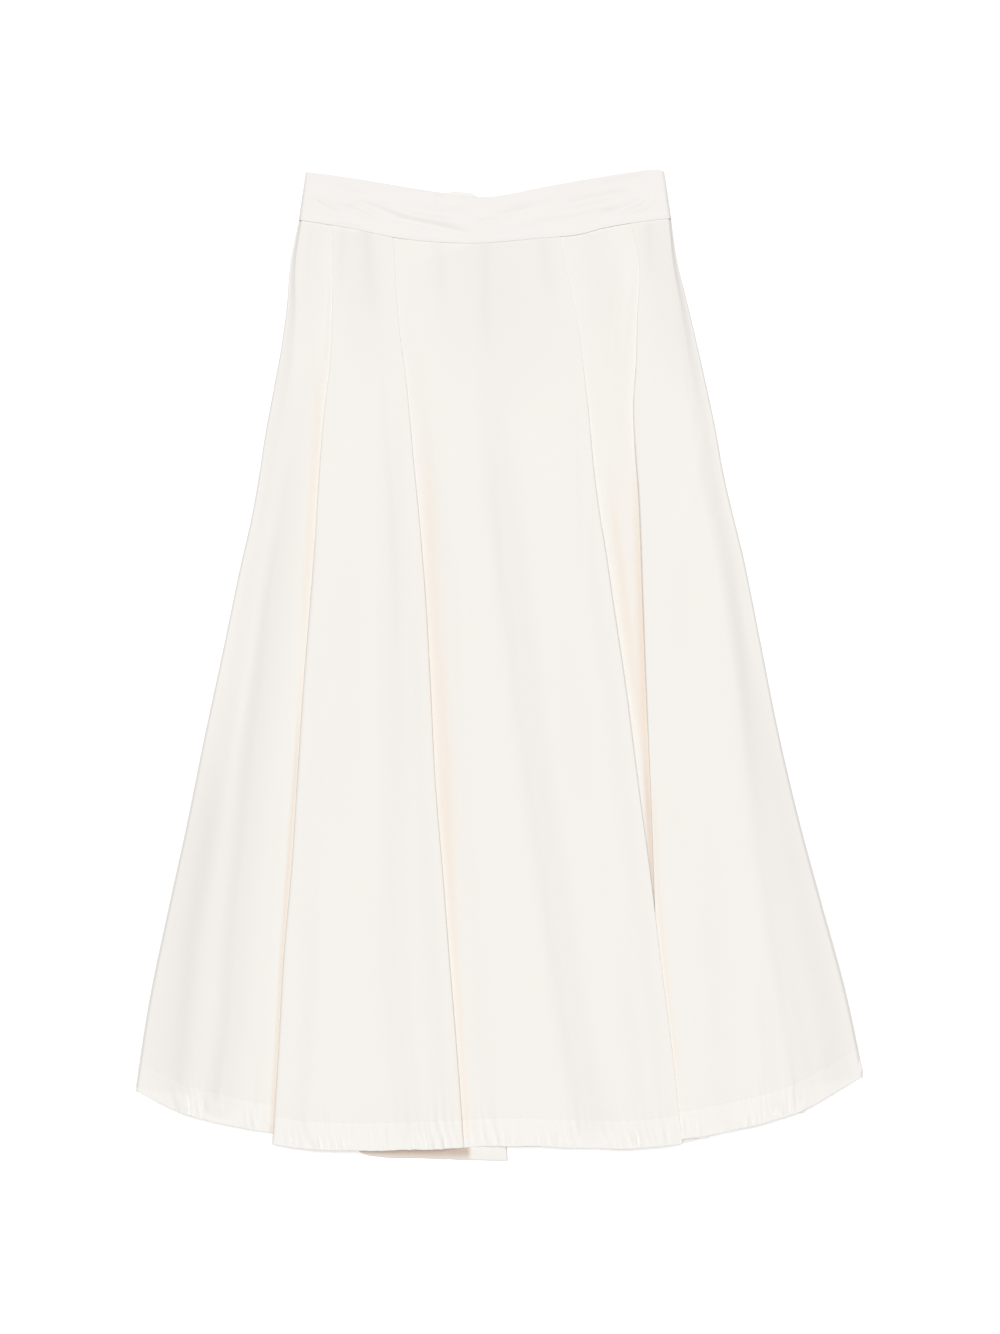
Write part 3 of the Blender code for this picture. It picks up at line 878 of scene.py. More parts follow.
# Creases of the front, placed from the photograph. Depths below 0 are ridges.
FRONT_CREASES = (
    Stroke(
        Panel.LEFT,
        ((-210, 330), (-209, 260), (-212, 174), (-225.5, 84), (-233.5, -6), (-243.5, -95), (-252.5, -185),
         (-261.5, -275), (-266, -365), (-282.5, -455)),
        5.8, 15, (0.35, 0.02), 0.3,
    ),
    Stroke(
        Panel.LEFT,
        ((-286, -60), (-292, -120), (-300.5, -185), (-314.5, -275), (-320.5, -365), (-327.5, -452)),
        3.8, 12, (0.35, 0.02), 0.3,
    ),
    Stroke(Panel.LEFT, ((-203, 436), (-206, 402), (-212, 350)), 0.8, 5, (0.15, 0.6)),
    Stroke(Panel.LEFT, ((-172, 420), (-172.5, 380), (-174.5, 320), (-178, 270)), -1.2, 4, (0.3, 0.4)),
    Stroke(Panel.LEFT, ((-186, 438), (-188, 400), (-187, 352)), 1.1, 4.5, (0.15, 0.6)),
    Stroke(Panel.LEFT, ((-230, 178), (-239, 160), (-247, 137)), 1.1, 4.5, (0.3, 0.4)),
    Stroke(Panel.LEFT, ((-252, 20), (-262, -60), (-274, -140)), -0.9, 8, (0.5, 0.5)),
    Stroke(
        Panel.BOX,
        ((-121.5, 345), (-112.5, 255), (-100.5, 164), (-100, 74), (-101.5, -17), (-97, -108),
         (-99.5, -198), (-102.5, -290), (-95, -382), (-84, -482)),
        2.4, 13, (0.3, 0.02), -0.3,
    ),
    Stroke(Panel.BOX, ((-148, 210), (-150, 60), (-158, -110), (-160, -240)), 1, 15, (0.4, 0.4)),
    Stroke(Panel.BOX, ((-186, -180), (-191, -300), (-197, -400), (-203, -480)), 1.4, 10, (0.5, 0.02)),
    Stroke(
        Panel.CENTRE,
        ((-9, 372), (-9.5, 335), (-3.5, 244), (2.5, 154), (14, 64), (25, -27), (36, -118), (50, -208),
         (63, -299), (76, -390), (96, -481)),
        4.2, 14, (0.3, 0.02), 0.2,
    ),
    Stroke(Panel.CENTRE, ((77.5, 420), (80, 408), (82, 394)), 1, 2.5, (0.2, 0.4)),
    Stroke(Panel.CENTRE, ((60, 60), (72, -60), (86, -190)), 1, 12, (0.5, 0.5)),
    Stroke(Panel.CENTRE, ((120, -250), (131, -350), (141, -480)), 1.5, 10, (0.5, 0.02)),
    Stroke(Panel.WEDGE, ((121.5, 409), (119, 381), (114.5, 358), (112, 318), (105.5, 265)), 1.3, 3.4),
    Stroke(Panel.WEDGE, ((129, 412), (128, 375), (124, 330), (119, 280)), -1.5, 5),
    Stroke(Panel.WEDGE, ((114, 372), (125, 371), (138, 368)), 0.7, 2.6),
    Stroke(Panel.WEDGE, ((113, 361), (125, 359.5), (137, 356)), 0.8, 2.4),
    Stroke(Panel.WEDGE, ((112, 350.5), (122, 350), (135, 345)), 0.6, 2.8),
    Stroke(
        Panel.RIGHT,
        ((218, 215), (236.5, 89), (247.5, 0), (254.5, -89), (264.5, -178), (277.5, -268), (291.5, -357),
         (305.5, -446)),
        3.4, 12.5, (0.35, 0.02), 0.35,
    ),
    Stroke(Panel.RIGHT, ((262, -300), (268.5, -369), (272, -422), (275, -452)), 1.7, 7, (0.4, 0.02)),
    Stroke(Panel.RIGHT, ((181, 125), (180, 50), (180.5, -35)), 1.1, 11, (0.4, 0.5)),
    Stroke(Panel.RIGHT, ((205, -120), (213, -240), (218, -350), (222, -468)), 1.3, 13, (0.5, 0.02)),
    Stroke(Panel.RIGHT, ((173.5, 290), (180.5, 273)), 0.6, 2.5),
    Stroke(
        Panel.RIGHT,
        ((201, 232), (193.5, 183), (192.5, 164), (185.5, 149), (172.5, 142), (156.5, 132)),
        -0.8, 3.5, (0.3, 0.4),
    ),
    Stroke(Panel.RIGHT, ((226, 176), (216, 160), (208, 146)), 0.9, 4.5, (0.1, 0.6)),
    Stroke(Panel.RIGHT, ((234.5, 120), (249, 45), (265.5, -37)), -0.9, 2.6, (0.3, 0.3)),
)

# Painted warm shade in the front's folds, from the photograph
FRONT_PAINTED_WARM_SHADE = (
    Stroke(
        Panel.BOX,
        ((-81, 165), (-73.5, 75), (-68.5, -15), (-64, -106), (-56.5, -196), (-42, -377), (-35.5, -481)),
        0.7, 2.6, (0.2, 0.02),
    ),
    Stroke(
        Panel.LEFT,
        ((-175, 350), (-178.5, 300), (-182, 235), (-188, 145), (-195, 40), (-200, -40)),
        0.55, 5, (0.35, 0.35),
    ),
    Stroke(
        Panel.LEFT,
        ((-190, 80), (-196.5, -10), (-203, -102), (-216.5, -284), (-221.5, -376), (-227.5, -478)),
        0.75, 2.6, (0.3, 0.02),
    ),
    Stroke(
        Panel.CENTRE,
        ((-80, 320), (-73.5, 230), (-67, 76), (-57, -52), (-48, -205), (-44, -300)),
        0.55, 8.5, (0.35, 0.3),
    ),
    Stroke(
        Panel.CENTRE,
        ((-62, -60), (-54.5, -150), (-48, -230), (-42.5, -310), (-35.5, -418), (-32.5, -480)),
        0.5, 4, (0.3, 0.05),
    ),
    Stroke(Panel.WEDGE, ((106, 230), (114, 150), (125, 60), (134, -10), (145, -90)), 0.6, 5, (0.4, 0.1)),
    Stroke(Panel.WEDGE, ((116, 390), (122, 230), (130, 100), (138, -20)), 0.14, 16, (0.2, 0.1)),
    Stroke(
        Panel.WEDGE,
        ((134, 260), (136, 190), (140.5, 80), (145, -40), (150, -150), (156, -265)),
        0.85, 5, (0.45, 0.05),
    ),
    Stroke(
        Panel.RIGHT,
        ((153, -110), (158, -220), (165, -300), (175, -380), (184, -470)),
        0.5, 3, (0.1, 0.3),
    ),
)

# Painted brown shade where a fold is deepest
FRONT_PAINTED_DEEP_SHADE = (
    Stroke(
        Panel.WEDGE,
        ((137, 260), (138, 180), (141, 80), (144.5, -40), (148, -130)),
        0.2, 4.5, (0.3, 0.3),
    ),
    Stroke(
        Panel.WEDGE,
        ((144, -60), (147, -120), (150, -170), (153, -230), (155.5, -268)),
        0.4, 3.2, (0.4, 0.1),
    ),
    Stroke(
        Panel.LEFT,
        ((-197, 20), (-203.5, -102), (-217, -284), (-222, -376), (-228, -478)),
        0.16, 2.6, (0.3, 0.02),
    ),
)

# Painted soft grey shade where the cloth turns away towards its sides, along the box pleat's left edge and
# in the gathers under the seam
FRONT_PAINTED_GREY_SHADE = (
    Stroke(
        Panel.BOX,
        ((-181.5, 165), (-188, 75), (-195.5, -15), (-207.5, -196), (-215.5, -286), (-226.5, -478)),
        0.8, 2.2, (0.1, 0.02),
    ),
    Stroke(Panel.BOX, ((-133, 436), (-129, 390), (-120, 320)), 0.3, 6, (0.02, 0.7)),
    Stroke(Panel.BOX, ((-157, 440), (-158, 400), (-160, 350)), 0.25, 5, (0.02, 0.7)),
    Stroke(Panel.CENTRE, ((-62, 424), (-58, 380), (-52, 320)), 0.2, 7, (0.02, 0.7)),
    Stroke(Panel.CENTRE, ((-14, 422), (-15, 360), (-13, 290)), 0.25, 5, (0.02, 0.6)),
    Stroke(Panel.CENTRE, ((44, 428), (48, 390), (54, 340)), 0.25, 8, (0.02, 0.7)),
    Stroke(Panel.RIGHT, ((148, 446), (150, 410), (152, 372)), 0.25, 5, (0.02, 0.6)),
    Stroke(Panel.LEFT, ((-262, 30), (-290, -90), (-316, -230), (-338, -430)), 0.3, 34, (0.4, 0.02)),
    Stroke(Panel.LEFT, ((-270, -30), (-288, -140), (-303, -260), (-312, -430)), 0.15, 26, (0.4, 0.1)),
    Stroke(Panel.RIGHT, ((245, 60), (280, -90), (306, -240), (338, -420)), 0.3, 30, (0.4, 0.02)),
    Stroke(Panel.LEFT, ((-216, 420), (-226, 300), (-240, 180)), 0.15, 16, (0.3, 0.4)),
    Stroke(Panel.CENTRE, ((-20, 424), (10, 330), (40, 230)), 0.27, 60, (0.02, 0.7)),
    Stroke(Panel.BOX, ((-140, 434), (-135, 340), (-130, 260)), 0.3, 22, (0.02, 0.7)),
    Stroke(Panel.RIGHT, ((155, 444), (176, 340), (210, 230)), 0.3, 26, (0.02, 0.6)),
    Stroke(Panel.LEFT, ((-184, 442), (-190, 370), (-198, 300)), 0.12, 16, (0.02, 0.7)),
    Stroke(Panel.WEDGE, ((92, 432), (102, 370), (110, 300)), 0.2, 16, (0.02, 0.6)),
)

# Painted light: paler colour where the cloth stands up to the light beside a pleat
FRONT_PAINTED_LIGHT = (
    Stroke(Panel.LEFT, ((-171, 430), (-171.5, 380), (-175, 320), (-180, 262)), 0.9, 4.5, (0.25, 0.5)),
    Stroke(Panel.WEDGE, ((130, 428), (128, 375), (124, 330), (119, 280)), 0.7, 7, (0.2, 0.5)),
)


@dataclass(frozen=True)
class FrontSteps:
    """How finely the front's section is divided: steps of its sides, stretches, plies and turns."""

    side: int = 16
    left: tuple[int, int] = (58, 6)
    box: int = 104
    centre: tuple[int, int] = (6, 116)
    wedge: tuple[int, int, int] = (4, 20, 4)
    right: int = 92
    under: int = 6
    under_turn: int = 3
    deep_turn: int = 4
    box_turn: int = 7
    fold_turn: int = 8
    right_turn: int = 6


@dataclass
class FrontPanel:
    """The front: one wide panel, pleated into the waist as a box pleat and an inverted pleat.

    Attributes:
        left_crest: Height of the panel left of the box pleat, at the waist and where it is loose, in mm.
        box_crest: Height of the box pleat's face where it is loose.
        box_crown: How far the box pleat's face arches.
        centre_crest: Height of the middle panel where it is loose.
        fold_crest: Height of the fold at the inverted pleat's left edge.
        right_crest: Height of the right panel.
        right_lift: How far the inverted pleat's right edge stands up below the waist.
        lift_span: Shares of the way down over which that starts and ends.
        loose_at: Share of the way down at which the folds are loose.
        fall: How far a fold sinks towards its right edge where it is loose, and over what width.
        left_fall: The same for the box pleat's left edge.
        margin: How far the cloth stays low beside a pleat's edge.
        rise: Width over which it then rises, at the waist and where it is loose.
        fold_rise: Where the middle panel starts to rise to its fold, and over what width.
        ridge: Height of the ridge down the middle of the inverted pleat.
        ridge_span: Shares of the way down over which that starts and ends.
        wedge_rim: How far the inverted pleat's inside runs on below its edges.
        wedge_least: Half its least width.
        floor: Height at which the sides end, above the back.
        roll: Width over which the sides come down, at the waist and at the hem.
        roll_growth: How late that grows on the way down.
        roll_in: How much narrower that is at the waistband.
        roll_in_to: Share of the way down at which it no longer is.
        box_depth: How far the box pleat reaches under itself, at the waist and at the hem.
        inverted_depth: The same for the inverted pleat.
        over: How far the middle panel's fold rises to pass over the right panel.
        under: How far the right panel's edge sinks under that fold.
        passing: Shares of the way down over which the one passes over the other.
        squeeze: How far the waist seam presses the plies together.
        squeezed_top: Height of the topmost ply at the waist seam.
        squeeze_down: How far below the seam the plies are free again.
        wave: Height of the cloth's gentle unevenness.
        wave_down: How far below the seam that is whole.
        wave_form: The form of that unevenness.
        streak: Height of the fine streaks down the cloth.
        streak_form: Their form.
        creases: The creases, given one by one.
        painted_warm_shade: The warm shade that gathers in its folds, where many plies lie behind each other.
        deep: The brown shade in the deepest of them.
        grey: Soft grey shade where the cloth turns away towards its sides.
        pale: Painted light: paler cloth where it stands up to the light.
        painted_hollow_shade: How strong the grey shade is in a crease, for each mm of its depth.
        hem: Its turned-up hem.
    """

    left_crest: tuple[float, float] = (LOW + 1.5, 11.5)
    box_crest: float = 14.5
    box_crown: float = 1.8
    centre_crest: float = 12.5
    fold_crest: float = 16.0
    right_crest: float = 12.5
    right_lift: float = 2.0
    lift_span: Places = ((0.0, 0.2), (0.4, 0.65))
    loose_at: float = 0.5
    fall: tuple[float, float] = (5.6, 36.0)
    left_fall: tuple[float, float] = (4.5, 40.0)
    margin: float = 3.0
    rise: tuple[float, float] = (16.0, 44.0)
    fold_rise: tuple[float, float] = (74.0, 56.0)
    ridge: float = 1.2
    ridge_span: Places = ((0.0, 0.05), (0.35, 0.55))
    wedge_rim: float = 2.0
    wedge_least: float = 1.0
    floor: float = 0.95
    roll: tuple[float, float] = (20.0, 50.0)
    roll_growth: float = 1.3
    roll_in: float = 15.0
    roll_in_to: float = 0.2
    box_depth: tuple[float, float] = (25.0, 46.0)
    inverted_depth: tuple[float, float] = (28.0, 46.0)
    over: float = 1.9
    under: float = 0.9
    passing: tuple[float, float] = (0.5, 0.7)
    squeeze: float = 0.14
    squeezed_top: float = 6.74
    squeeze_down: float = 300.0
    wave: float = 0.32
    wave_down: float = 120.0
    wave_form: Unevenness = Unevenness(3, 150.0, 700.0)
    streak: float = 0.1
    streak_form: Unevenness = Unevenness(5, 19.0, 900.0, 9)
    creases: tuple[Stroke, ...] = FRONT_CREASES
    painted_warm_shade: tuple[Stroke, ...] = FRONT_PAINTED_WARM_SHADE
    deep: tuple[Stroke, ...] = FRONT_PAINTED_DEEP_SHADE
    grey: tuple[Stroke, ...] = FRONT_PAINTED_GREY_SHADE
    pale: tuple[Stroke, ...] = FRONT_PAINTED_LIGHT
    painted_hollow_shade: float = 0.085
    hem: HemTurnUp = HemTurnUp()
    steps: FrontSteps = FrontSteps()

    def section(self, share: float) -> Section:
        """The panel's section at a share of the way from the waist seam to the hem.

        Args:
            share: From 0 at the seam to 1 at the hem.

        Returns:
            The section, from the left side to the right.
        """
        left, box_left, box_right, fold, edge, right = (
            curve(FRONT_SECTIONS, share, column) for column in range(1, 7)
        )
        steps = self.steps
        loose = ease(share / self.loose_at)
        roll = mix(*self.roll, share**self.roll_growth)
        roll -= self.roll_in * (1 - ramp(0.0, self.roll_in_to, share))
        rise = mix(*self.rise, loose)
        box_depth, inverted_depth = mix(*self.box_depth, share), mix(*self.inverted_depth, share)
        box_top = mix(PRESSED, self.box_crest, loose)
        centre_top = mix(PRESSED, self.centre_crest, loose)
        fold_top = mix(PRESSED, self.fold_crest, loose)
        right_top = mix(PRESSED, self.right_crest, loose)
        left_top = mix(*self.left_crest, loose)
        passed = ramp(*self.passing, share)
        fold_mid = mix(MID, MID + self.over, passed)
        right_start = PRESSED + self.right_lift * swell(*self.lift_span, share) - self.under * passed
        nearest = max(fold, edge) + self.margin
        middle = (fold + edge) / 2
        wedge_left = min(fold - self.wedge_rim, middle - self.wedge_least)
        wedge_right = max(edge + self.wedge_rim, middle + self.wedge_least)
        ridge = self.ridge * swell(*self.ridge_span, share)

        def sunk(across: np.ndarray, edge_at: float) -> np.ndarray:
            """How far the cloth sinks towards a fold's right edge."""
            depth, width = self.fall
            return depth * loose * ease((across - edge_at) / width + 1.0)

        def left_height(across: np.ndarray) -> np.ndarray:
            """Height of the left stretch, which rises away from the box pleat."""
            return mix(LOW, left_top, ease((box_left - self.margin - across) / rise))

        def box_height(across: np.ndarray) -> np.ndarray:
            """Height of the box pleat's face, arched and sunk towards both edges."""
            along = np.clip((across - box_left) / (box_right - box_left), 0.0, 1.0)
            depth, width = self.left_fall
            low_edge = depth * loose * ease((box_left - across) / width + 1.0)
            arch = self.box_crown * loose * np.sin(math.pi * along)
            return box_top + arch - sunk(across, box_right) - low_edge

        def centre_height(across: np.ndarray) -> np.ndarray:
            """Height of the middle stretch, which rises to its fold."""
            risen = mix(LOW, centre_top, ease((across - box_right - self.margin) / rise))
            start, width = self.fold_rise
            return mix(risen, fold_top, ease((across - fold + start) / width)) - sunk(across, fold)

        def wedge_height(across: np.ndarray) -> np.ndarray:
            """Height of the inverted pleat's inside, with its ridge."""
            off = np.clip(np.abs(across - middle) * 2 / (wedge_right - wedge_left), 0.0, 1.0)
            return LOW + ridge * np.cos(math.pi / 2 * off) ** 2

        def right_height(across: np.ndarray) -> np.ndarray:
            """Height of the right stretch, which rises away from the inverted pleat."""
            return mix(right_start, right_top, ease((across - nearest) / rise))

        def at(height: Field, place: float) -> float:
            """A height at one place across."""
            return float(height(np.array([place]))[0])

        made = Section()
        left_flat = left + roll + CLOTH / 2
        side_height = at(left_height, left_flat)
        made.side(left, Edge.LEFT, roll, self.floor, side_height, steps.side, hem_line(HEM_LEFT))
        under_box = turn_start(box_left + box_depth, Edge.RIGHT, LOW, MID)
        made.ply((left_flat, box_left, under_box), steps.left, left_height, hem_line(HEM_LEFT), Panel.LEFT)
        made.turn(box_left + box_depth, Edge.RIGHT, LOW, MID, steps.under_turn, HEM_LEFT[-1][1])
        edge_height = at(box_height, box_left)
        box_edge = turn_start(box_left, Edge.LEFT, MID, edge_height)
        back = hem_between(under_box, box_edge, HEM_LEFT[-1][1], HEM_BOX[0][1])
        made.ply((under_box, box_edge), (steps.under,), level(MID), back)
        made.turn(box_left, Edge.LEFT, MID, edge_height, steps.box_turn, HEM_BOX[0][1], Panel.BOX)
        far_edge = turn_start(box_right, Edge.RIGHT, MID, at(box_height, box_right))
        made.ply((box_edge, far_edge), (steps.box,), box_height, hem_line(HEM_BOX), Panel.BOX)
        far_height = at(box_height, far_edge)
        made.turn(box_right, Edge.RIGHT, far_height, MID, steps.box_turn, HEM_BOX[-1][1], Panel.BOX)
        under_right = turn_start(box_right - box_depth, Edge.LEFT, LOW, MID)
        back = hem_between(far_edge, under_right, HEM_BOX[-1][1], HEM_CENTRE[0][1])
        made.ply((far_edge, under_right), (steps.under,), level(MID), back)
        made.turn(box_right - box_depth, Edge.LEFT, MID, LOW, steps.under_turn, HEM_CENTRE[0][1])
        fold_edge = turn_start(fold, Edge.RIGHT, fold_mid, at(centre_height, fold))
        stops = (under_right, box_right, fold_edge)
        made.ply(stops, steps.centre, centre_height, hem_line(HEM_CENTRE), Panel.CENTRE)
        fold_height = at(centre_height, fold_edge)
        fold_hem = HEM_CENTRE[-1][1]
        made.turn(fold, Edge.RIGHT, fold_height, fold_mid, steps.fold_turn, fold_hem, Panel.CENTRE)
        under_fold = turn_start(fold - inverted_depth, Edge.LEFT, LOW, fold_mid)
        under_end = turn_start(edge + inverted_depth, Edge.RIGHT, LOW, MID)
        deep_hem = hem_between(under_fold, under_end, fold_hem, HEM_RIGHT[0][1])
        made.ply((fold_edge, under_fold), (steps.under,), level(fold_mid), level(fold_hem))
        made.turn(fold - inverted_depth, Edge.LEFT, fold_mid, LOW, steps.deep_turn, fold_hem)
        stops = (under_fold, wedge_left, wedge_right, under_end)
        made.ply(stops, steps.wedge, wedge_height, deep_hem, Panel.WEDGE)
        made.turn(edge + inverted_depth, Edge.RIGHT, LOW, MID, steps.under_turn, HEM_RIGHT[0][1])
        right_edge = turn_start(edge, Edge.LEFT, MID, right_start)
        made.ply((under_end, right_edge), (steps.under,), level(MID), level(HEM_RIGHT[0][1]))
        made.turn(edge, Edge.LEFT, MID, right_start, steps.right_turn, HEM_RIGHT[0][1], Panel.RIGHT)
        right_flat = right - roll - CLOTH / 2
        stops = (right_edge, right_flat)
        made.ply(stops, (steps.right,), right_height, hem_line(HEM_RIGHT), Panel.RIGHT)
        side_height = at(right_height, right_flat)
        made.side(right, Edge.RIGHT, roll, self.floor, side_height, steps.side, hem_line(HEM_RIGHT))
        return made

    def build(self) -> Piece:
        """Builds the panel's shell with its creases and its hem."""
        grid = grid_from(self.section)
        loose = ramp(0.0, self.squeeze_down, grid.from_seam)
        top = mix(self.squeezed_top, PRESSED, loose)
        pressed = top - (PRESSED - grid.z) * mix(self.squeeze, 1.0, loose)
        lowest = top - (PRESSED - LOW) * mix(self.squeeze, 1.0, loose)
        share = np.clip((grid.z - self.floor) / (LOW - self.floor), 0.0, 1.0)
        grid.z = np.where(grid.z > LOW, pressed, mix(self.floor, lowest, share))
        grid.press(self.creases)
        girth = grid.girth()
        shown = np.where(grid.panel == Panel.HIDDEN.value, 0.0, grid.share)
        free = ramp(0.0, self.wave_down, grid.from_seam) * shown
        grid.z += self.wave * free * self.wave_form.at(girth, grid.y)
        grid.y += self.hem.stray(girth, grid.from_hem)
        grid.z += self.hem.relief(girth, grid.from_hem) * grid.calm()
        grid.z += self.streak * free * self.streak_form.at(girth, grid.y)
        doubled = self.hem.doubled(grid.from_hem)
        shell = Shell()
        item = shell.build("front_cloth", grid, grid.from_hem, 0.0, doubled * grid.calm())
        # Painted warm shade in the folds
        lay_shade(item, "painted_warm_shade", grid.painted(self.painted_warm_shade))
        # Painted brown shade in the deepest folds
        lay_shade(item, "depth", grid.painted(self.deep))
        # Painted grey shade in the creases, by their depth, and where the cloth turns away
        painted_hollow_shade = np.maximum(grid.painted(self.creases), 0.0) * self.painted_hollow_shade + grid.painted(self.grey)
        lay_shade(item, "painted_hollow_shade", painted_hollow_shade)
        # The doubled hem's real paler tone, with painted light added where the cloth stands up to the light
        lay_shade(item, "doubled", doubled / self.hem.ply + grid.painted(self.pale))
        line = shell.line(grid, self.hem.depth)
        return Piece(item, ("front_panel",), "ivory_cotton", line)


# How the back's plies stack, middle to middle, from the surface up
BACK_LEVELS = (BACK_LOW, BACK_LOW + PLY, BACK_LOW + 2 * PLY)
BACK_ROWS: Table = (
    # from, to, step
    (0.0, 60.0, 10.0),
    (60.0, 873.0, 20.0),
)


@dataclass
class BackPanels:
    """The back in two halves, face down, each with its pleats, joined by the seam between them.

    Attributes:
        gap: Distance between the halves at their seam, in mm.
        depth: How far a pleat reaches under itself, at the waist and at the hem.
        beyond: How far past the fold under it the inner ply runs flat.
        slope: Width over which it comes down from there.
        rest: Least width of flat cloth between two slopes.
        lifts: The creases that lift the cloth off the surface.
        deep: The brown shade on the part that sinks away behind the front's hem.
        hem: Its turned-up hem, whose inside shows past the front.
        flat_steps: Steps across of a flat ply at a side.
        fold_steps: Steps of a pleat's middle ply.
        inner_steps: Steps of the left half's inner ply, from slope to slope.
        return_steps: Steps of the ply that returns below it.
        seam_steps: Steps of the ply at the seam.
        right_steps: Steps of the right half's inner ply.
        turn_steps: Steps of a turn, and of the one that shows.
    """

    gap: float = 0.3
    depth: tuple[float, float] = (22.0, 40.0)
    beyond: float = 3.0
    slope: float = 16.0
    rest: float = 2.0
    lifts: tuple[Stroke, ...] = (
        Stroke(Panel.BACK, ((-178, 400), (-188, 250), (-205, 60), (-236, -140)), -1, 9, (0.4, 0.4)),
        Stroke(Panel.BACK, ((-252, -60), (-283, -240), (-318, -448)), -1.2, 11, (0.4, 0.05)),
        Stroke(Panel.BACK, ((30, 400), (42, 220), (58, 30), (60, -150)), -1.1, 10, (0.4, 0.4)),
        Stroke(Panel.BACK, ((95, -80), (112, -280), (120, -478)), -1.2, 12, (0.4, 0.05)),
        Stroke(Panel.BACK, ((178, 330), (214, 150), (238, -40)), -0.9, 9, (0.4, 0.5)),
        Stroke(Panel.BACK, ((268, -180), (294, -330), (318, -430)), -1, 10, (0.4, 0.05)),
    )
    deep: tuple[Stroke, ...] = (
        Stroke(
            Panel.HIDDEN,
            ((-146, -482), (-124, -484), (-100, -485.5), (-60, -486), (-27, -485)),
            1, 7.5, (0.05, 0.05),
        ),
    )
    hem: HemTurnUp = HemTurnUp(pucker=0.42, pitch=7.5, slant=-0.2, wander=0.3)
    flat_steps: int = 60
    fold_steps: int = 12
    inner_steps: tuple[int, ...] = (16, 10, 80, 10, 24)
    return_steps: int = 14
    seam_steps: int = 20
    right_steps: tuple[int, ...] = (90, 10, 18)
    turn_steps: tuple[int, int] = (3, 4)

    def left_section(self, share: float) -> Section:
        """The left half's section, from the side to the seam down the middle.

        Args:
            share: From 0 at the waist seam to 1 at the hem.

        Returns:
            The section.
        """
        side = curve(FRONT_SECTIONS, share, 1)
        pleat, centre, seam = (curve(BACK_SECTIONS, share, column) for column in (1, 2, 3))
        seam -= self.gap / 2
        depth = mix(*self.depth, share)
        low, mid, top = BACK_LEVELS
        off_pleat, onto_centre = pleat + depth + self.beyond, centre - depth - self.beyond
        between = (off_pleat + onto_centre) / 2
        down_at = min(off_pleat + self.slope, between - self.rest / 2)
        up_at = max(onto_centre - self.slope, between + self.rest / 2)

        def inner(across: np.ndarray) -> np.ndarray:
            """Height of the inner ply, which comes down to the surface between the two pleats."""
            from_pleat = ease((across - off_pleat) / self.slope)
            from_centre = ease((onto_centre - across) / self.slope)
            return mix(top, low, from_pleat * from_centre)

        made = Section()
        turn, shown_turn = self.turn_steps
        under_pleat = turn_start(pleat + depth, Edge.RIGHT, low, mid)
        pleat_edge = turn_start(pleat, Edge.LEFT, mid, top)
        centre_edge = turn_start(centre, Edge.RIGHT, mid, top)
        under_centre = turn_start(centre - depth, Edge.LEFT, low, mid)
        hem, under_hem = hem_line(HEM_BACK_LEFT), HEM_BACK_UNDER[0][1]
        made.ply((side, under_pleat), (self.flat_steps,), level(low), hem, Panel.BACK)
        made.turn(pleat + depth, Edge.RIGHT, low, mid, turn, curve(HEM_BACK_LEFT, under_pleat))
        made.ply((under_pleat, pleat_edge), (self.fold_steps,), level(mid), hem)
        made.turn(pleat, Edge.LEFT, mid, top, turn, curve(HEM_BACK_LEFT, pleat_edge))
        stops = (pleat_edge, off_pleat, down_at, up_at, onto_centre, centre_edge)
        made.ply(stops, self.inner_steps, inner, hem)
        made.turn(centre, Edge.RIGHT, top, mid, shown_turn, curve(HEM_BACK_LEFT, centre_edge))
        returning = hem_between(centre_edge, under_centre, curve(HEM_BACK_LEFT, centre), under_hem)
        made.ply((centre_edge, under_centre), (self.return_steps,), level(mid), returning)
        made.turn(centre - depth, Edge.LEFT, mid, low, turn, under_hem)
        made.ply((under_centre, seam), (self.seam_steps,), level(low), hem_line(HEM_BACK_UNDER), Panel.BACK)
        return made

    def right_section(self, share: float) -> Section:
        """The right half's section, from the seam down the middle to the side.

        Args:
            share: From 0 at the waist seam to 1 at the hem.

        Returns:
            The section.
        """
        side = curve(FRONT_SECTIONS, share, 6)
        pleat = curve(BACK_SECTIONS, share, 4)
        seam = curve(BACK_SECTIONS, share, 3) + self.gap / 2
        depth = mix(*self.depth, share)
        low, mid, top = BACK_LEVELS
        onto_pleat = pleat - depth - self.beyond
        up_at = max(onto_pleat - self.slope, (seam + onto_pleat) / 2)

        def inner(across: np.ndarray) -> np.ndarray:
            """Height of the inner ply, which rises from the surface onto the pleat."""
            return mix(top, low, ease((onto_pleat - across) / self.slope))

        made = Section()
        turn = self.turn_steps[0]
        pleat_edge = turn_start(pleat, Edge.RIGHT, mid, top)
        under_pleat = turn_start(pleat - depth, Edge.LEFT, low, mid)
        hem, side_hem = hem_line(HEM_BACK_RIGHT), HEM_BACK_SIDE[0][1]
        made.ply((seam, up_at, onto_pleat, pleat_edge), self.right_steps, inner, hem, Panel.BACK)
        made.turn(pleat, Edge.RIGHT, top, mid, turn, curve(HEM_BACK_RIGHT, pleat_edge))
        returning = hem_between(pleat_edge, under_pleat, curve(HEM_BACK_RIGHT, pleat), side_hem)
        made.ply((pleat_edge, under_pleat), (self.fold_steps,), level(mid), returning)
        made.turn(pleat - depth, Edge.LEFT, mid, low, turn, side_hem)
        made.ply((under_pleat, side), (self.flat_steps,), level(low), hem_line(HEM_BACK_SIDE), Panel.BACK)
        return made

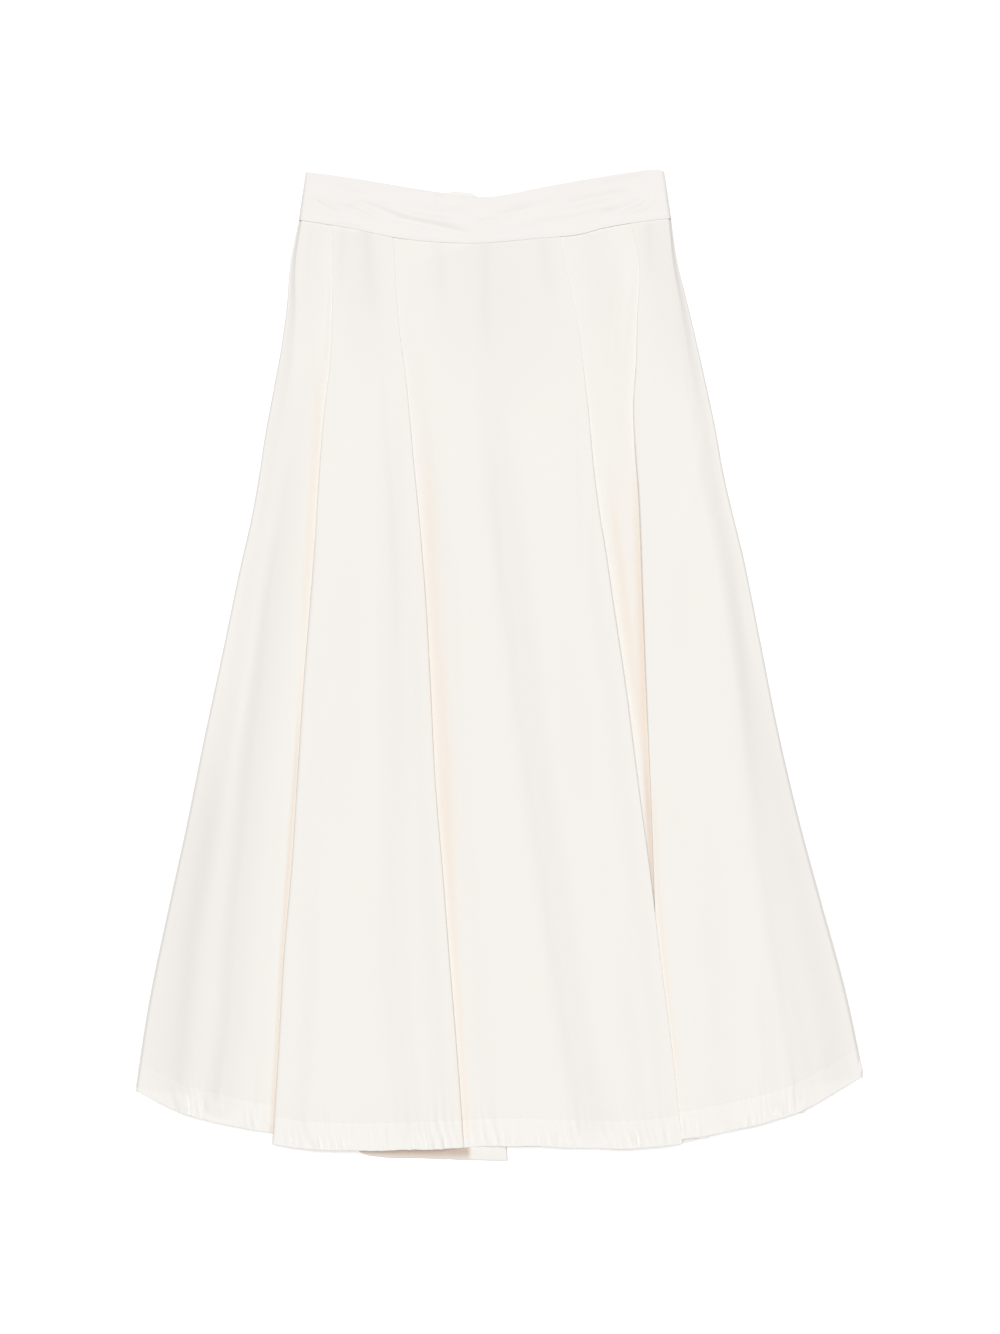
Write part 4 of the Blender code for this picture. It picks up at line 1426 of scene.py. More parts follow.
    def half(self, section_at: Callable[[float], Section], name: str, node: str) -> Piece:
        """Builds one half with its lifts and its hem.

        Args:
            section_at: Makes the half's section at a share of the way down.
            name: The object's name.
            node: The solid that it stands for.

        Returns:
            The half.
        """
        grid = grid_from(section_at, BACK_ROWS)
        grid.press(self.lifts)
        girth = grid.girth()
        grid.y += self.hem.stray(girth, grid.from_hem)
        upper = self.hem.doubled(grid.from_hem)
        grid.z += np.maximum(self.hem.relief(girth, grid.from_hem), 0.0)
        shell = Shell()
        item = shell.build(name, grid, grid.from_hem, upper)
        # Painted brown shade where the back's hem sinks away behind the front's hem
        lay_shade(item, "depth", grid.painted(self.deep))
        return Piece(item, (node,), "ivory_cotton", shell.line(grid, self.hem.depth, self.hem.ply / 2))

    def build(self) -> tuple[Piece, Piece]:
        """Builds both halves."""
        return (
            self.half(self.left_section, "back_cloth_left", "back_panel_left"),
            self.half(self.right_section, "back_cloth_right", "back_panel_right"),
        )


BAND_CREASES = (
    Stroke(
        Panel.BAND,
        ((-124, 451), (-116.5, 449), (-91, 443.4), (-51.7, 435), (-27.9, 429.4), (-18, 428)),
        1.7, 3.4, (0.3, 0.25), 0.2,
    ),
    Stroke(Panel.BAND, ((-126, 459), (-92, 451), (-52, 443), (-24, 437)), -1.3, 4, (0.3, 0.3)),
    Stroke(Panel.BAND, ((-193, 467), (-168.5, 453), (-152, 447)), 1.5, 3.6),
    Stroke(Panel.BAND, ((-186, 474), (-160, 463), (-138, 457)), -1, 4.5),
    Stroke(Panel.BAND, ((-152, 466), (-116.5, 453), (-98, 448)), 1.6, 3.6),
    Stroke(Panel.BAND, ((-160, 461), (-138, 451), (-116, 440)), 1.4, 3.2),
    Stroke(Panel.BAND, ((-172, 447), (-150, 442), (-130, 438)), -0.8, 3.4),
    Stroke(Panel.BAND, ((-142, 475), (-112, 463), (-88, 459)), -0.9, 4.5),
    Stroke(Panel.BAND, ((-100, 455), (-72, 451), (-44, 450)), 1.4, 3.8),
    Stroke(Panel.BAND, ((-84, 465), (-56, 459), (-30, 458)), -0.8, 4),
    Stroke(Panel.BAND, ((-61, 476), (-60, 466), (-57.5, 456)), 1.3, 4),
    Stroke(Panel.BAND, ((-8, 447), (12, 451), (36, 457)), 1.4, 3.6),
    Stroke(Panel.BAND, ((-26, 441), (-12, 443), (4, 444)), 1.2, 3),
    Stroke(Panel.BAND, ((0, 460), (30, 464), (62, 469)), -0.9, 4.5),
    Stroke(Panel.BAND, ((54, 455), (87.1, 464.5), (112.5, 469), (140, 475)), 1.7, 4),
    Stroke(Panel.BAND, ((62, 448), (92, 456), (118, 461)), -1, 3.6),
    Stroke(Panel.BAND, ((96, 448), (125, 456), (152, 468)), 1.6, 3.8),
    Stroke(Panel.BAND, ((120, 449), (142, 457), (160, 470)), -1, 3.6),
    Stroke(Panel.BAND, ((16, 436), (48, 442), (84, 446)), 0.9, 4),
    Stroke(Panel.BAND, ((-182, 484), (-150, 473), (-112, 468)), 0.8, 5),
    Stroke(Panel.BAND, ((92, 478), (122, 483), (150, 487)), 0.8, 4.5),
)


@dataclass
class FrontBand:
    """The front waistband: a doubled strip, sewn to the front along its lower edge.

    Attributes:
        wall: Its thickness, in mm.
        lift: Height of its middle at its top fold and at the waist seam.
        roll: How far its ends roll down to the back.
        floor: Height at which its ends stop.
        seam_gap: Its distance from the front's upper edge, which it covers where this is below 0.
        pressed: How much thinner it is pressed at the seam, and over what depth.
        pressed_front: Share of that which its outer face gives.
        ridge: Height of the seam allowance's ridge, its place above the seam and half its width.
        ridge_least: Share of that height which is there all along.
        ridge_spans: Stretches over which it grows strong, fades, and grows strong again.
        rope: How far its height varies, and in which form.
        dip: Depth of the dip above the ridge, its place above the seam and half its width.
        wave: Height of the band's gentle unevenness.
        wave_form: The form of that unevenness.
        blunt: How much less its lower edge is rounded off.
        soft: How far the seam and the top fold stay free of drag lines.
        creases: The drag lines, given one by one.
        painted_hollow_shade: How strong the grey shade is in a drag line, for each mm of its depth.
        near: Shares of its depth close to its top fold, and likewise to the seam.
        rows: Rows in between.
        columns: Steps along it.
        end_steps: Steps of an end that rolls down.
    """

    wall: float = 1.2
    lift: tuple[float, float] = (4.7, 7.05)
    roll: float = 3.5
    floor: float = 1.75
    seam_gap: float = -0.8
    pressed: tuple[float, float] = (0.5, 4.0)
    pressed_front: float = 0.3
    ridge: tuple[float, float, float] = (0.3, 3.2, 2.4)
    ridge_least: float = 0.45
    ridge_spans: Places = ((-95.0, -70.0), (15.0, 60.0), (128.0, 142.0))
    rope: tuple[float, Unevenness] = (0.2, Unevenness(21, 26.0, 300.0))
    dip: tuple[float, float, float] = (0.22, 8.5, 3.0)
    wave: float = 0.18
    wave_form: Unevenness = Unevenness(22, 70.0, 60.0)
    blunt: float = 0.5
    soft: tuple[float, float] = (6.0, 5.0)
    creases: tuple[Stroke, ...] = BAND_CREASES
    painted_hollow_shade: float = 0.1
    near: tuple[float, ...] = (0.0, 0.01, 0.025, 0.045)
    rows: int = 36
    columns: int = 230
    end_steps: int = 5

    def grid(self) -> Grid:
        """The middle of the band as a grid, from its top fold down to the seam."""
        angle = math.pi / 2 * np.arange(self.end_steps + 1) / self.end_steps
        inset = self.wall / 2 + self.roll * (1 - np.cos(angle))
        rows = []
        for share in edged_shares(self.near, self.rows):
            left, right = (mix(BAND_TOP[end][0], WAIST_SEAM[end][0], share) for end in (0, -1))
            width = right - left
            height = mix(*self.lift, ease(share))
            first = inset[-1] / width
            middle = mix(first, 1 - first, np.arange(1, self.columns) / self.columns)
            place = np.concatenate([inset / width, middle, 1 - inset[::-1] / width])
            ends = self.floor + (height - self.floor) * np.sin(angle)
            up = np.concatenate([ends, np.full(len(middle), height), ends[::-1]])
            top = curve(BAND_TOP, mix(BAND_TOP[0][0], BAND_TOP[-1][0], place))
            seam = curve(WAIST_SEAM, mix(WAIST_SEAM[0][0], WAIST_SEAM[-1][0], place)) + self.seam_gap
            rows.append((mix(left, right, place), mix(top, seam, share), up, top, seam))
        x, y, z, top, seam = (np.array(values) for values in zip(*rows))
        panel = np.full(x.shape, Panel.BAND.value)
        return Grid(x, y, z, panel, np.ones(x.shape), top - y, y - seam)

    def relief(self, grid: Grid) -> np.ndarray:
        """Ridge of the seam allowance above the seam, the dip above it and a gentle wave.

        Args:
            grid: The middle of the band.

        Returns:
            How far its outer face stands out, in mm.
        """
        rising, falling, again = self.ridge_spans
        strong = self.ridge_least + (1 - self.ridge_least) * swell(rising, falling, grid.x)
        strong = np.clip(strong + ramp(*again, grid.x), 0.0, 1.0)
        varies, form = self.rope
        rope = 1.0 + varies * (form.at(grid.x, grid.y) - 1.0)
        ridge = self.ridge[0] * strong * rope * bell(grid.from_hem, *self.ridge[1:])
        dip = self.dip[0] * bell(grid.from_hem, *self.dip[1:])
        wave = self.wave * self.wave_form.at(grid.x, grid.y)
        return ridge - dip + wave * ramp(0.0, self.soft[0], grid.from_seam)

    def build(self) -> Piece:
        """Builds the band's shell with its drag lines."""
        grid = self.grid()
        at_seam, at_fold = self.soft
        grid.share = ramp(0.0, at_seam, grid.from_hem) * ramp(0.0, at_fold, grid.from_seam)
        grid.press(self.creases)
        shell = Shell(self.wall)
        edge = np.minimum(grid.from_seam, grid.from_hem + self.blunt)
        near_seam = self.pressed[0] * (1 - ramp(0.0, self.pressed[1], grid.from_hem))
        outer = self.relief(grid) - self.pressed_front * near_seam
        item = shell.build("front_band_cloth", grid, edge, outer, -near_seam)
        # Painted grey shade in the drag lines, by their depth
        lay_shade(item, "painted_hollow_shade", np.maximum(grid.painted(self.creases), 0.0) * self.painted_hollow_shade * grid.share)
        return Piece(item, ("waistband_front",), "band_cotton")


@dataclass
class BackBand:
    """The back waistband in two halves, with the closure between them.

    Attributes:
        wall: Its thickness, in mm.
        floor: Height of its underside.
        seam_gap: Its distance from the back's upper edge.
        gap: Distance between the halves.
        proud: How far the left half's end stands up past the right one.
        proud_from: Where it starts to, and over what width.
        slant: Over what width its end slants back down to the closure.
        round_edge: Distance over which its edges round off.
        wave: Height of its gentle unevenness, its form, and how far its edges stay free of it.
        near: Shares of its depth close to its top fold, and likewise to the seam.
        rows: Rows in between.
        columns: Places along a half.
    """

    wall: float = 1.2
    floor: float = 0.05
    seam_gap: float = 0.3
    gap: float = 0.3
    proud: float = 4.0
    proud_from: tuple[float, float] = (-64.0, 26.0)
    slant: float = 9.0
    round_edge: float = 1.2
    wave: tuple[float, Unevenness, float] = (0.12, Unevenness(23, 60.0, 60.0), 5.0)
    near: tuple[float, ...] = (0.0, 0.01, 0.03)
    rows: int = 14
    columns: int = 90

    def half(self, start: float, end: float, name: str, node: str) -> Piece:
        """Builds a half between two places along the band.

        Args:
            start: Share of the band's length where it starts.
            end: Where it ends.
            name: The object's name.
            node: The solid that it stands for.

        Returns:
            The half.
        """
        place = np.linspace(start, end, self.columns)
        along_top, along_seam = (mix(table[0][0], table[-1][0], place) for table in (BAND_TOP, WAIST_SEAM))
        first, width = self.proud_from
        slant = np.clip((CLOSURE - along_top) / self.slant, 0.0, 1.0)
        proud = np.where(along_top < CLOSURE, ease((along_top - first) / width) * slant, 0.0)
        top = curve(BAND_TOP, along_top) + self.proud * proud
        seam = curve(WAIST_SEAM, along_seam) + self.seam_gap
        shares = edged_shares(self.near, self.rows)[:, None]
        left, right = (mix(BAND_TOP[side][0], WAIST_SEAM[side][0], shares) for side in (0, -1))
        x, y = mix(left, right, place), mix(top, seam, shares)
        z = np.full(x.shape, self.wall / 2 + self.floor)
        grid = Grid(x, y, z, np.full(x.shape, Panel.BAND.value), np.ones(x.shape), top - y, y - seam)
        height, form, free = self.wave
        edge = np.minimum(grid.from_seam, grid.from_hem)
        wave = height * (1 + form.at(x, y)) * ramp(0.0, free, edge)
        return Piece(Shell(self.wall, self.round_edge).build(name, grid, edge, wave), (node,), "band_cotton")

    def build(self) -> tuple[Piece, Piece]:
        """Builds both halves."""
        left, right = BAND_TOP[0][0], BAND_TOP[-1][0]
        middle, half_gap = (CLOSURE - left) / (right - left), self.gap / 2 / (right - left)
        return (
            self.half(0.0, middle - half_gap, "back_band_left_cloth", "waistband_back_left"),
            self.half(middle + half_gap, 1.0, "back_band_right_cloth", "waistband_back_right"),
        )


@dataclass
class PocketBag:
    """A pocket bag: two plies of cotton sewn round, flat inside a side seam.

    Attributes:
        sections: Rows of the right bag: down from the waist, inner edge and outer edge, in mm.
        mirror: Place across of the line that the left bag is mirrored in.
        wall: Thickness of both plies.
        height: Height of its middle above the surface.
        clear: How far its outer edge stays inside that, clear of the front where it comes down.
        sewn: Width over which its edges thin out to their seam.
        rows: Places down it.
        columns: Places across it.
    """

    sections: Table = (
        (10.0, 128.0, 163.0),
        (60.0, 134.0, 178.0),
        (120.0, 140.0, 192.0),
        (190.0, 146.0, 205.0),
        (240.0, 150.0, 195.0),
        (275.0, 154.0, 192.0),
        (292.0, 158.0, 183.0),
        (303.0, 164.0, 172.0),
    )
    mirror: float = -6.0
    wall: float = 1.3
    height: float = 1.4
    clear: float = 3.0
    sewn: float = 5.0
    rows: int = 60
    columns: int = 24

    def build(self, side: Edge) -> Piece:
        """Builds the bag of one side.

        Args:
            side: The side that it hangs in.

        Returns:
            The bag.
        """
        down = np.linspace(self.sections[0][0], self.sections[-1][0], self.rows)
        inner, outer = curve(self.sections, down, 1), curve(self.sections, down, 2) - self.clear
        place = np.linspace(0.0, 1.0, self.columns)
        width = (outer - inner)[:, None]
        x = inner[:, None] + width * place
        down = np.broadcast_to(down[:, None], x.shape)
        y = curve(WAIST_SEAM, x) - down
        name = "right"
        if side is Edge.LEFT:
            x, y, name = (2 * self.mirror - x)[:, ::-1], y[:, ::-1], "left"
        edge = np.minimum(np.minimum(place, 1 - place) * width, down[-1, 0] - down)
        z = np.full(x.shape, self.height)
        grid = Grid(x, y, z, np.full(x.shape, Panel.HIDDEN.value), np.ones(x.shape), down, edge)
        item = Shell(self.wall, self.sewn).build(f"pocket_bag_{name}_cloth", grid, edge)
        return Piece(item, (f"pocket_bag_{name}",), "ivory_cotton")


@dataclass
class ClosedZip:
    """The closed concealed zip behind the closure: a tape, two coils, a slider and its pull.

    Attributes:
        length: Length of the tape, in mm.
        tape: Half its width.
        thickness: Its thickness.
        rib: Height of its woven ribs, and how close they are, in radians for each mm.
        floor: Height of its underside.
        tape_up: Height of its middle above that.
        top: How far its top end is below the band's top edge.
        rows: Places down the tape.
        columns: Places across it.
        pitch: Distance between two turns of a coil.
        turn_steps: Steps of a turn.
        coil: Half width and half height of a coil.
        coil_off: Distance of a coil's middle from the zip's, across and up from the floor.
        coil_flat: How far a turn reaches out: a steady share of the half width, and one that swings.
        coil_ends: How far the coils stop short of the tape's ends.
        thread: Radius of the coil's monofilament.
        slider: Width, length and height of the slider.
        pull: Width, length and height of its pull.
        ups: Heights of the middles of the slider and its pull above the floor.
        bevels: How far the rims of the slider and its pull are softened.
        slider_down: How far the slider is below the tape's top end.
    """

    length: float = 205.0
    tape: float = 11.0
    thickness: float = 0.5
    rib: tuple[float, float] = (0.06, 1.3)
    floor: float = 1.9
    tape_up: float = 0.3
    top: float = 2.5
    rows: int = 70
    columns: int = 13
    pitch: float = 1.25
    turn_steps: int = 12
    coil: tuple[float, float] = (1.0, 0.35)
    coil_off: tuple[float, float] = (0.55, 0.75)
    coil_flat: tuple[float, float] = (0.25, 0.75)
    coil_ends: float = 6.0
    thread: float = 0.22
    slider: tuple[float, float, float] = (4.4, 8.0, 1.7)
    pull: tuple[float, float, float] = (3.0, 15.0, 0.7)
    ups: tuple[float, float] = (0.95, 1.95)
    bevels: tuple[float, float] = (0.55, 0.3)
    slider_down: float = 4.0

    def start(self) -> float:
        """Height up the skirt of the tape's top end."""
        return float(curve(BAND_TOP, CLOSURE)) - self.top

    def drift(self, down: Values) -> Values:
        """Place across of the zip at distances below its top end."""
        ends = curve(BACK_SECTIONS, np.array([0.0, self.length / PANEL_LENGTH]), 3)
        return mix(ends[0], ends[1], down / self.length)

    def build_tape(self) -> Piece:
        """Builds the tape."""
        down = np.linspace(0.0, self.length, self.rows)[:, None]
        place = np.linspace(-self.tape, self.tape, self.columns)
        x = self.drift(down) + place
        from_top = np.broadcast_to(down, x.shape)
        z = np.full(x.shape, self.floor + self.tape_up)
        panel = np.full(x.shape, Panel.HIDDEN.value)
        grid = Grid(x, self.start() - from_top, z, panel, np.ones(x.shape), from_top, self.length - from_top)
        edge = np.minimum(grid.from_seam, grid.from_hem)
        ribs = np.broadcast_to(self.rib[0] * np.abs(np.sin(place * self.rib[1])), x.shape)
        item = Shell(self.thickness, 1.0).build("zip_tape_cloth", grid, edge, ribs)
        return Piece(item, ("back_zip",), "zip_tape")

    def build_coils(self) -> Piece:
        """Builds both coils, each one flattened helix, meshed with the other."""
        parts = []
        off, off_up = self.coil_off
        steady, swinging = self.coil_flat
        for side, phase in ((-1.0, 0.0), (1.0, math.pi)):
            down = np.arange(self.coil_ends, self.length - self.coil_ends, self.pitch / self.turn_steps)
            angle = 2 * math.pi * down / self.pitch + phase
            reach = off + self.coil[0] * (steady + swinging * np.cos(angle) ** 3)
            up = self.floor + off_up + self.coil[1] * np.sin(angle)
            path = np.stack([self.drift(down) + side * reach, self.start() - down, up], axis=-1)
            parts.append(Tube(self.thread).along(path))
        points, faces = join(parts)
        item = add_mesh("zip_coils", points * MM, faces, points[:, :2] * MM)
        return Piece(item, (), "zip_tape")

    def build_slider(self) -> Piece:
        """Builds the slider with its pull, closed at the top of the zip."""
        top, length = self.start() - self.slider_down, self.slider[1]
        middle = float(self.drift(length))
        slider_up, pull_up = (self.floor + up for up in self.ups)
        body = self.block((middle, top - length / 2, slider_up), self.slider, self.bevels[0])
        centre = (middle, top - length / 2 - self.pull[1] / 2, pull_up)
        points, faces = join([body, self.block(centre, self.pull, self.bevels[1])])
        item = add_mesh("zip_slider", points * MM, faces, points[:, :2] * MM)
        return Piece(item, (), "zip_tape")

    @staticmethod
    def block(
        centre: tuple[float, float, float], size: tuple[float, float, float], bevel: float, count: int = 24
    ) -> tuple[np.ndarray, np.ndarray]:
        """A block with rounded ends and softened rims.

        Args:
            centre: Its middle, in mm.
            size: Its width, length and height, in mm.
            bevel: How far its rims are softened, in mm.
            count: How many points go round it.

        Returns:
            Points in mm and faces.
        """
        angle = 2 * math.pi * np.arange(count) / count
        side, along = (np.sign(wave) * np.sqrt(np.abs(wave)) for wave in (np.cos(angle), np.sin(angle)))
        half_width, half_length, half_height = (value / 2 for value in size)
        rings = []
        for inset, up in ((bevel, -1.0), (0.0, -0.5), (0.0, 0.5), (bevel, 1.0)):
            level_up = np.full(count, half_height * up)
            ring = [side * (half_width - inset), along * (half_length - inset), level_up]
            rings.append(np.stack(ring, axis=-1))
        points = np.concatenate(rings) + np.array(centre)
        index = np.arange(4 * count).reshape(4, count)
        index = np.concatenate([index, index[:, :1]], axis=1)
        corners = (index[:-1, :-1], index[:-1, 1:], index[1:, 1:], index[1:, :-1])
        faces = [np.stack([corner.ravel() for corner in corners], axis=-1)]
        for row, turned in ((index[0], True), (index[3], False)):
            for step in range(count // 2 - 1):
                cap = [row[step], row[step + 1], row[count - 2 - step], row[count - 1 - step]]
                faces.append(np.array([cap[::-1] if turned else cap]))
        return points, np.concatenate(faces)


@dataclass
class HemStitches:
    """The sewing of the hem: short stitches of ivory thread along a panel's stitch line.

    Attributes:
        length: Length of a stitch, in mm.
        gap: Distance to the next one.
        thread: Radius of the thread.
        margins: Distance of the first and of the last stitch from the line's ends.
        stops: Shares of a stitch at which its thread bends.
        arch: Heights of the thread there, in radii.
        uneven: How far the height of a stitch varies, in mm.
        seed: Picks those heights.
    """

    length: float = 2.1
    gap: float = 1.1
    thread: float = 0.11
    margins: tuple[float, float] = (2.0, 3.0)
    stops: tuple[float, ...] = (0.0, 0.25, 0.75, 1.0)
    arch: tuple[float, ...] = (-0.6, 0.7, 0.7, -0.6)
    uneven: float = 0.03
    seed: int = 31

    def build(self, line: np.ndarray, name: str) -> Piece:
        """Builds a panel's stitches.

        Args:
            line: Places along the stitch line, in mm, then which way the face looks, in six columns.
            name: The object's name.

        Returns:
            The stitches.
        """
        steps = np.linalg.norm(np.diff(line[:, :3], axis=0), axis=1)
        run = np.concatenate([[0.0], np.cumsum(steps)])
        draw = np.random.default_rng(self.seed)
        first, last = self.margins
        parts = []
        for start in np.arange(first, run[-1] - last, self.length + self.gap):
            at = start + self.length * np.array(self.stops)
            arch = self.thread * np.array(self.arch) + draw.uniform(-self.uneven, self.uneven)
            places = np.stack([np.interp(at, run, line[:, axis]) for axis in range(6)], axis=-1)
            parts.append(Tube(self.thread).along(places[:, :3] + places[:, 3:] * arch[:, None]))
        points, faces = join(parts)
        item = add_mesh(name, points * MM, faces, points[:, :2] * MM)
        return Piece(item, (), "ivory_cotton")


Socket = tuple[str, str, float | Colour | None]
Value = bpy.types.NodeSocket | float

# A colour mix node's sockets
MIX_FIRST, MIX_SECOND, MIX_RESULT = 6, 7, 2

# Kinds of painted shade, and the doubled hem's paler tone with painted light, laid on the cloth: the tone
# group's strength and colour for each
SHADES = {
    "doubled": ("Doubled_And_Painted_Light_Strength", "Double"),
    "painted_hollow_shade": ("Painted_Hollow_Shade_Strength", "Painted_Grey_Shade_Colour"),
    "painted_warm_shade": ("Painted_Warm_Shade_Strength", "Warm"),
    "depth": ("Depth", "Painted_Deep_Shade_Colour"),
}


class GroupMaker:
    """Builds one shader node group with named inputs and outputs."""

    def __init__(self, name: str, inputs: tuple[Socket, ...], outputs: tuple[tuple[str, str], ...]) -> None:
        """Starts the group.

        Args:
            name: The group's name.
            inputs: Name, socket type and usual value of each input.
            outputs: Name and socket type of each output.
        """
        self.tree = bpy.data.node_groups.new(name, "ShaderNodeTree")
        for label, kind, usual in inputs:
            socket = self.tree.interface.new_socket(label, in_out="INPUT", socket_type=kind)
            if usual is not None:
                socket.default_value = (*usual, 1.0) if isinstance(usual, tuple) else usual
        for label, kind in outputs:
            self.tree.interface.new_socket(label, in_out="OUTPUT", socket_type=kind)
        self.given = self.tree.nodes.new("NodeGroupInput").outputs
        self.result = self.tree.nodes.new("NodeGroupOutput").inputs

    def math(self, operation: str, first: Value, second: Value | None = None) -> bpy.types.NodeSocket:
        """Adds a math node.

        Args:
            operation: Its operation.
            first: Its first value, a socket or a number.
            second: Its second value, where it has one.

        Returns:
            Its output.
        """
        node = self.tree.nodes.new("ShaderNodeMath")
        node.operation = operation
        for index, value in enumerate((first, second)):
            if isinstance(value, (int, float)):
                node.inputs[index].default_value = value
            elif value is not None:
                self.link(value, node.inputs[index])
        return node.outputs[0]

    def link(self, output: bpy.types.NodeSocket, target: bpy.types.NodeSocket) -> None:
        """Links two sockets."""
        self.tree.links.new(output, target)


@dataclass(frozen=True)
class PlainWeave:
    """Plain weave: warp and weft threads over and under each other, unevenly thick.

    Attributes:
        threads: Threads in a metre.
        slub: How far the threads vary in place and thickness.
        slub_scale: How often they vary in a metre.
        slub_detail: How much finer variation goes with it.
        gap_edge: How sharply the gaps between threads begin.
    """

    threads: float = 2400.0
    slub: float = 0.3
    slub_scale: float = 260.0
    slub_detail: float = 3.0
    gap_edge: float = 4.0

    def group(self) -> bpy.types.NodeTree:
        """Builds the group, which puts out the weave's height and the gaps between its threads."""
        made = GroupMaker(
            "plain_weave",
            (
                ("Cloth", "NodeSocketVector", None),
                ("Threads", "NodeSocketFloat", self.threads),
                ("Slub", "NodeSocketFloat", self.slub),
            ),
            (("Height", "NodeSocketFloat"), ("Gaps", "NodeSocketFloat")),
        )
        slubs = made.tree.nodes.new("ShaderNodeTexNoise")
        slubs.noise_dimensions = "2D"
        slubs.inputs["Scale"].default_value = self.slub_scale
        slubs.inputs["Detail"].default_value = self.slub_detail
        made.link(made.given["Cloth"], slubs.inputs["Vector"])
        split = made.tree.nodes.new("ShaderNodeSeparateXYZ")
        made.link(made.given["Cloth"], split.inputs[0])
        swing = made.math("MULTIPLY", slubs.outputs[0], made.given["Slub"])
        waves = []
        for axis in ("X", "Y"):
            turns = made.math("MULTIPLY", split.outputs[axis], made.given["Threads"])
            turns = made.math("ADD", turns, swing)
            waves.append(made.math("SINE", made.math("MULTIPLY", turns, math.pi)))
        crossing = made.math("MULTIPLY", waves[0], waves[1])
        made.link(made.math("ADD", crossing, swing), made.result["Height"])
        low = made.math("SUBTRACT", 1.0, made.math("ABSOLUTE", crossing))
        made.link(made.math("POWER", low, self.gap_edge), made.result["Gaps"])
        return made.tree


@dataclass(frozen=True)
class ClothTone:
    """A cloth's tone: slow changes over it, fine ones from thread to thread, and the painted shade and
    painted light laid on it.

    Attributes:
        deep: The brown of the painted shade in the deepest folds.
        grey: The grey of cloth that turns away from the light.
        double: The pale tone of doubled cloth, also used as painted light where the cloth stands up to the
            light.
        scale: How often the tone changes in a metre.
        detail: How much finer change goes with it.
    """

    deep: Colour = (0.56, 0.45, 0.37)
    grey: Colour = (0.745, 0.722, 0.688)
    double: Colour = (0.851, 0.829, 0.793)
    scale: float = 14.0
    detail: float = 4.0

    def group(self) -> bpy.types.NodeTree:
        """Builds the group, which puts out the colour."""
        made = GroupMaker(
            "cloth_tone",
            (
                ("Cloth", "NodeSocketVector", None),
                ("Colour", "NodeSocketColor", None),
                ("Shade", "NodeSocketColor", None),
                ("Warm", "NodeSocketColor", None),
                ("Painted_Deep_Shade_Colour", "NodeSocketColor", self.deep),
                ("Painted_Grey_Shade_Colour", "NodeSocketColor", self.grey),
                ("Double", "NodeSocketColor", self.double),
                ("Gaps", "NodeSocketFloat", 0.0),
                *((strength, "NodeSocketFloat", 0.0) for strength, _ in SHADES.values()),
                ("Strength", "NodeSocketFloat", 0.0),
            ),
            (("Colour", "NodeSocketColor"),),
        )
        given = made.given
        slow = made.tree.nodes.new("ShaderNodeTexNoise")
        slow.inputs["Scale"].default_value = self.scale
        slow.inputs["Detail"].default_value = self.detail
        made.link(given["Cloth"], slow.inputs["Vector"])
        both = made.math("MULTIPLY", made.math("ADD", slow.outputs[0], given["Gaps"]), given["Strength"])
        colour = given["Colour"]
        # Mixes in the slow tone and the weave's gaps, then each painted shade and the doubled tone with its
        # painted light
        for factor, other in ((both, "Shade"), *((given[name], shade) for name, shade in SHADES.values())):
            blend = made.tree.nodes.new("ShaderNodeMix")
            blend.data_type = "RGBA"
            made.link(factor, blend.inputs["Factor"])
            made.link(colour, blend.inputs[MIX_FIRST])
            made.link(given[other], blend.inputs[MIX_SECOND])
            colour = blend.outputs[MIX_RESULT]
        made.link(colour, made.result["Colour"])
        return made.tree


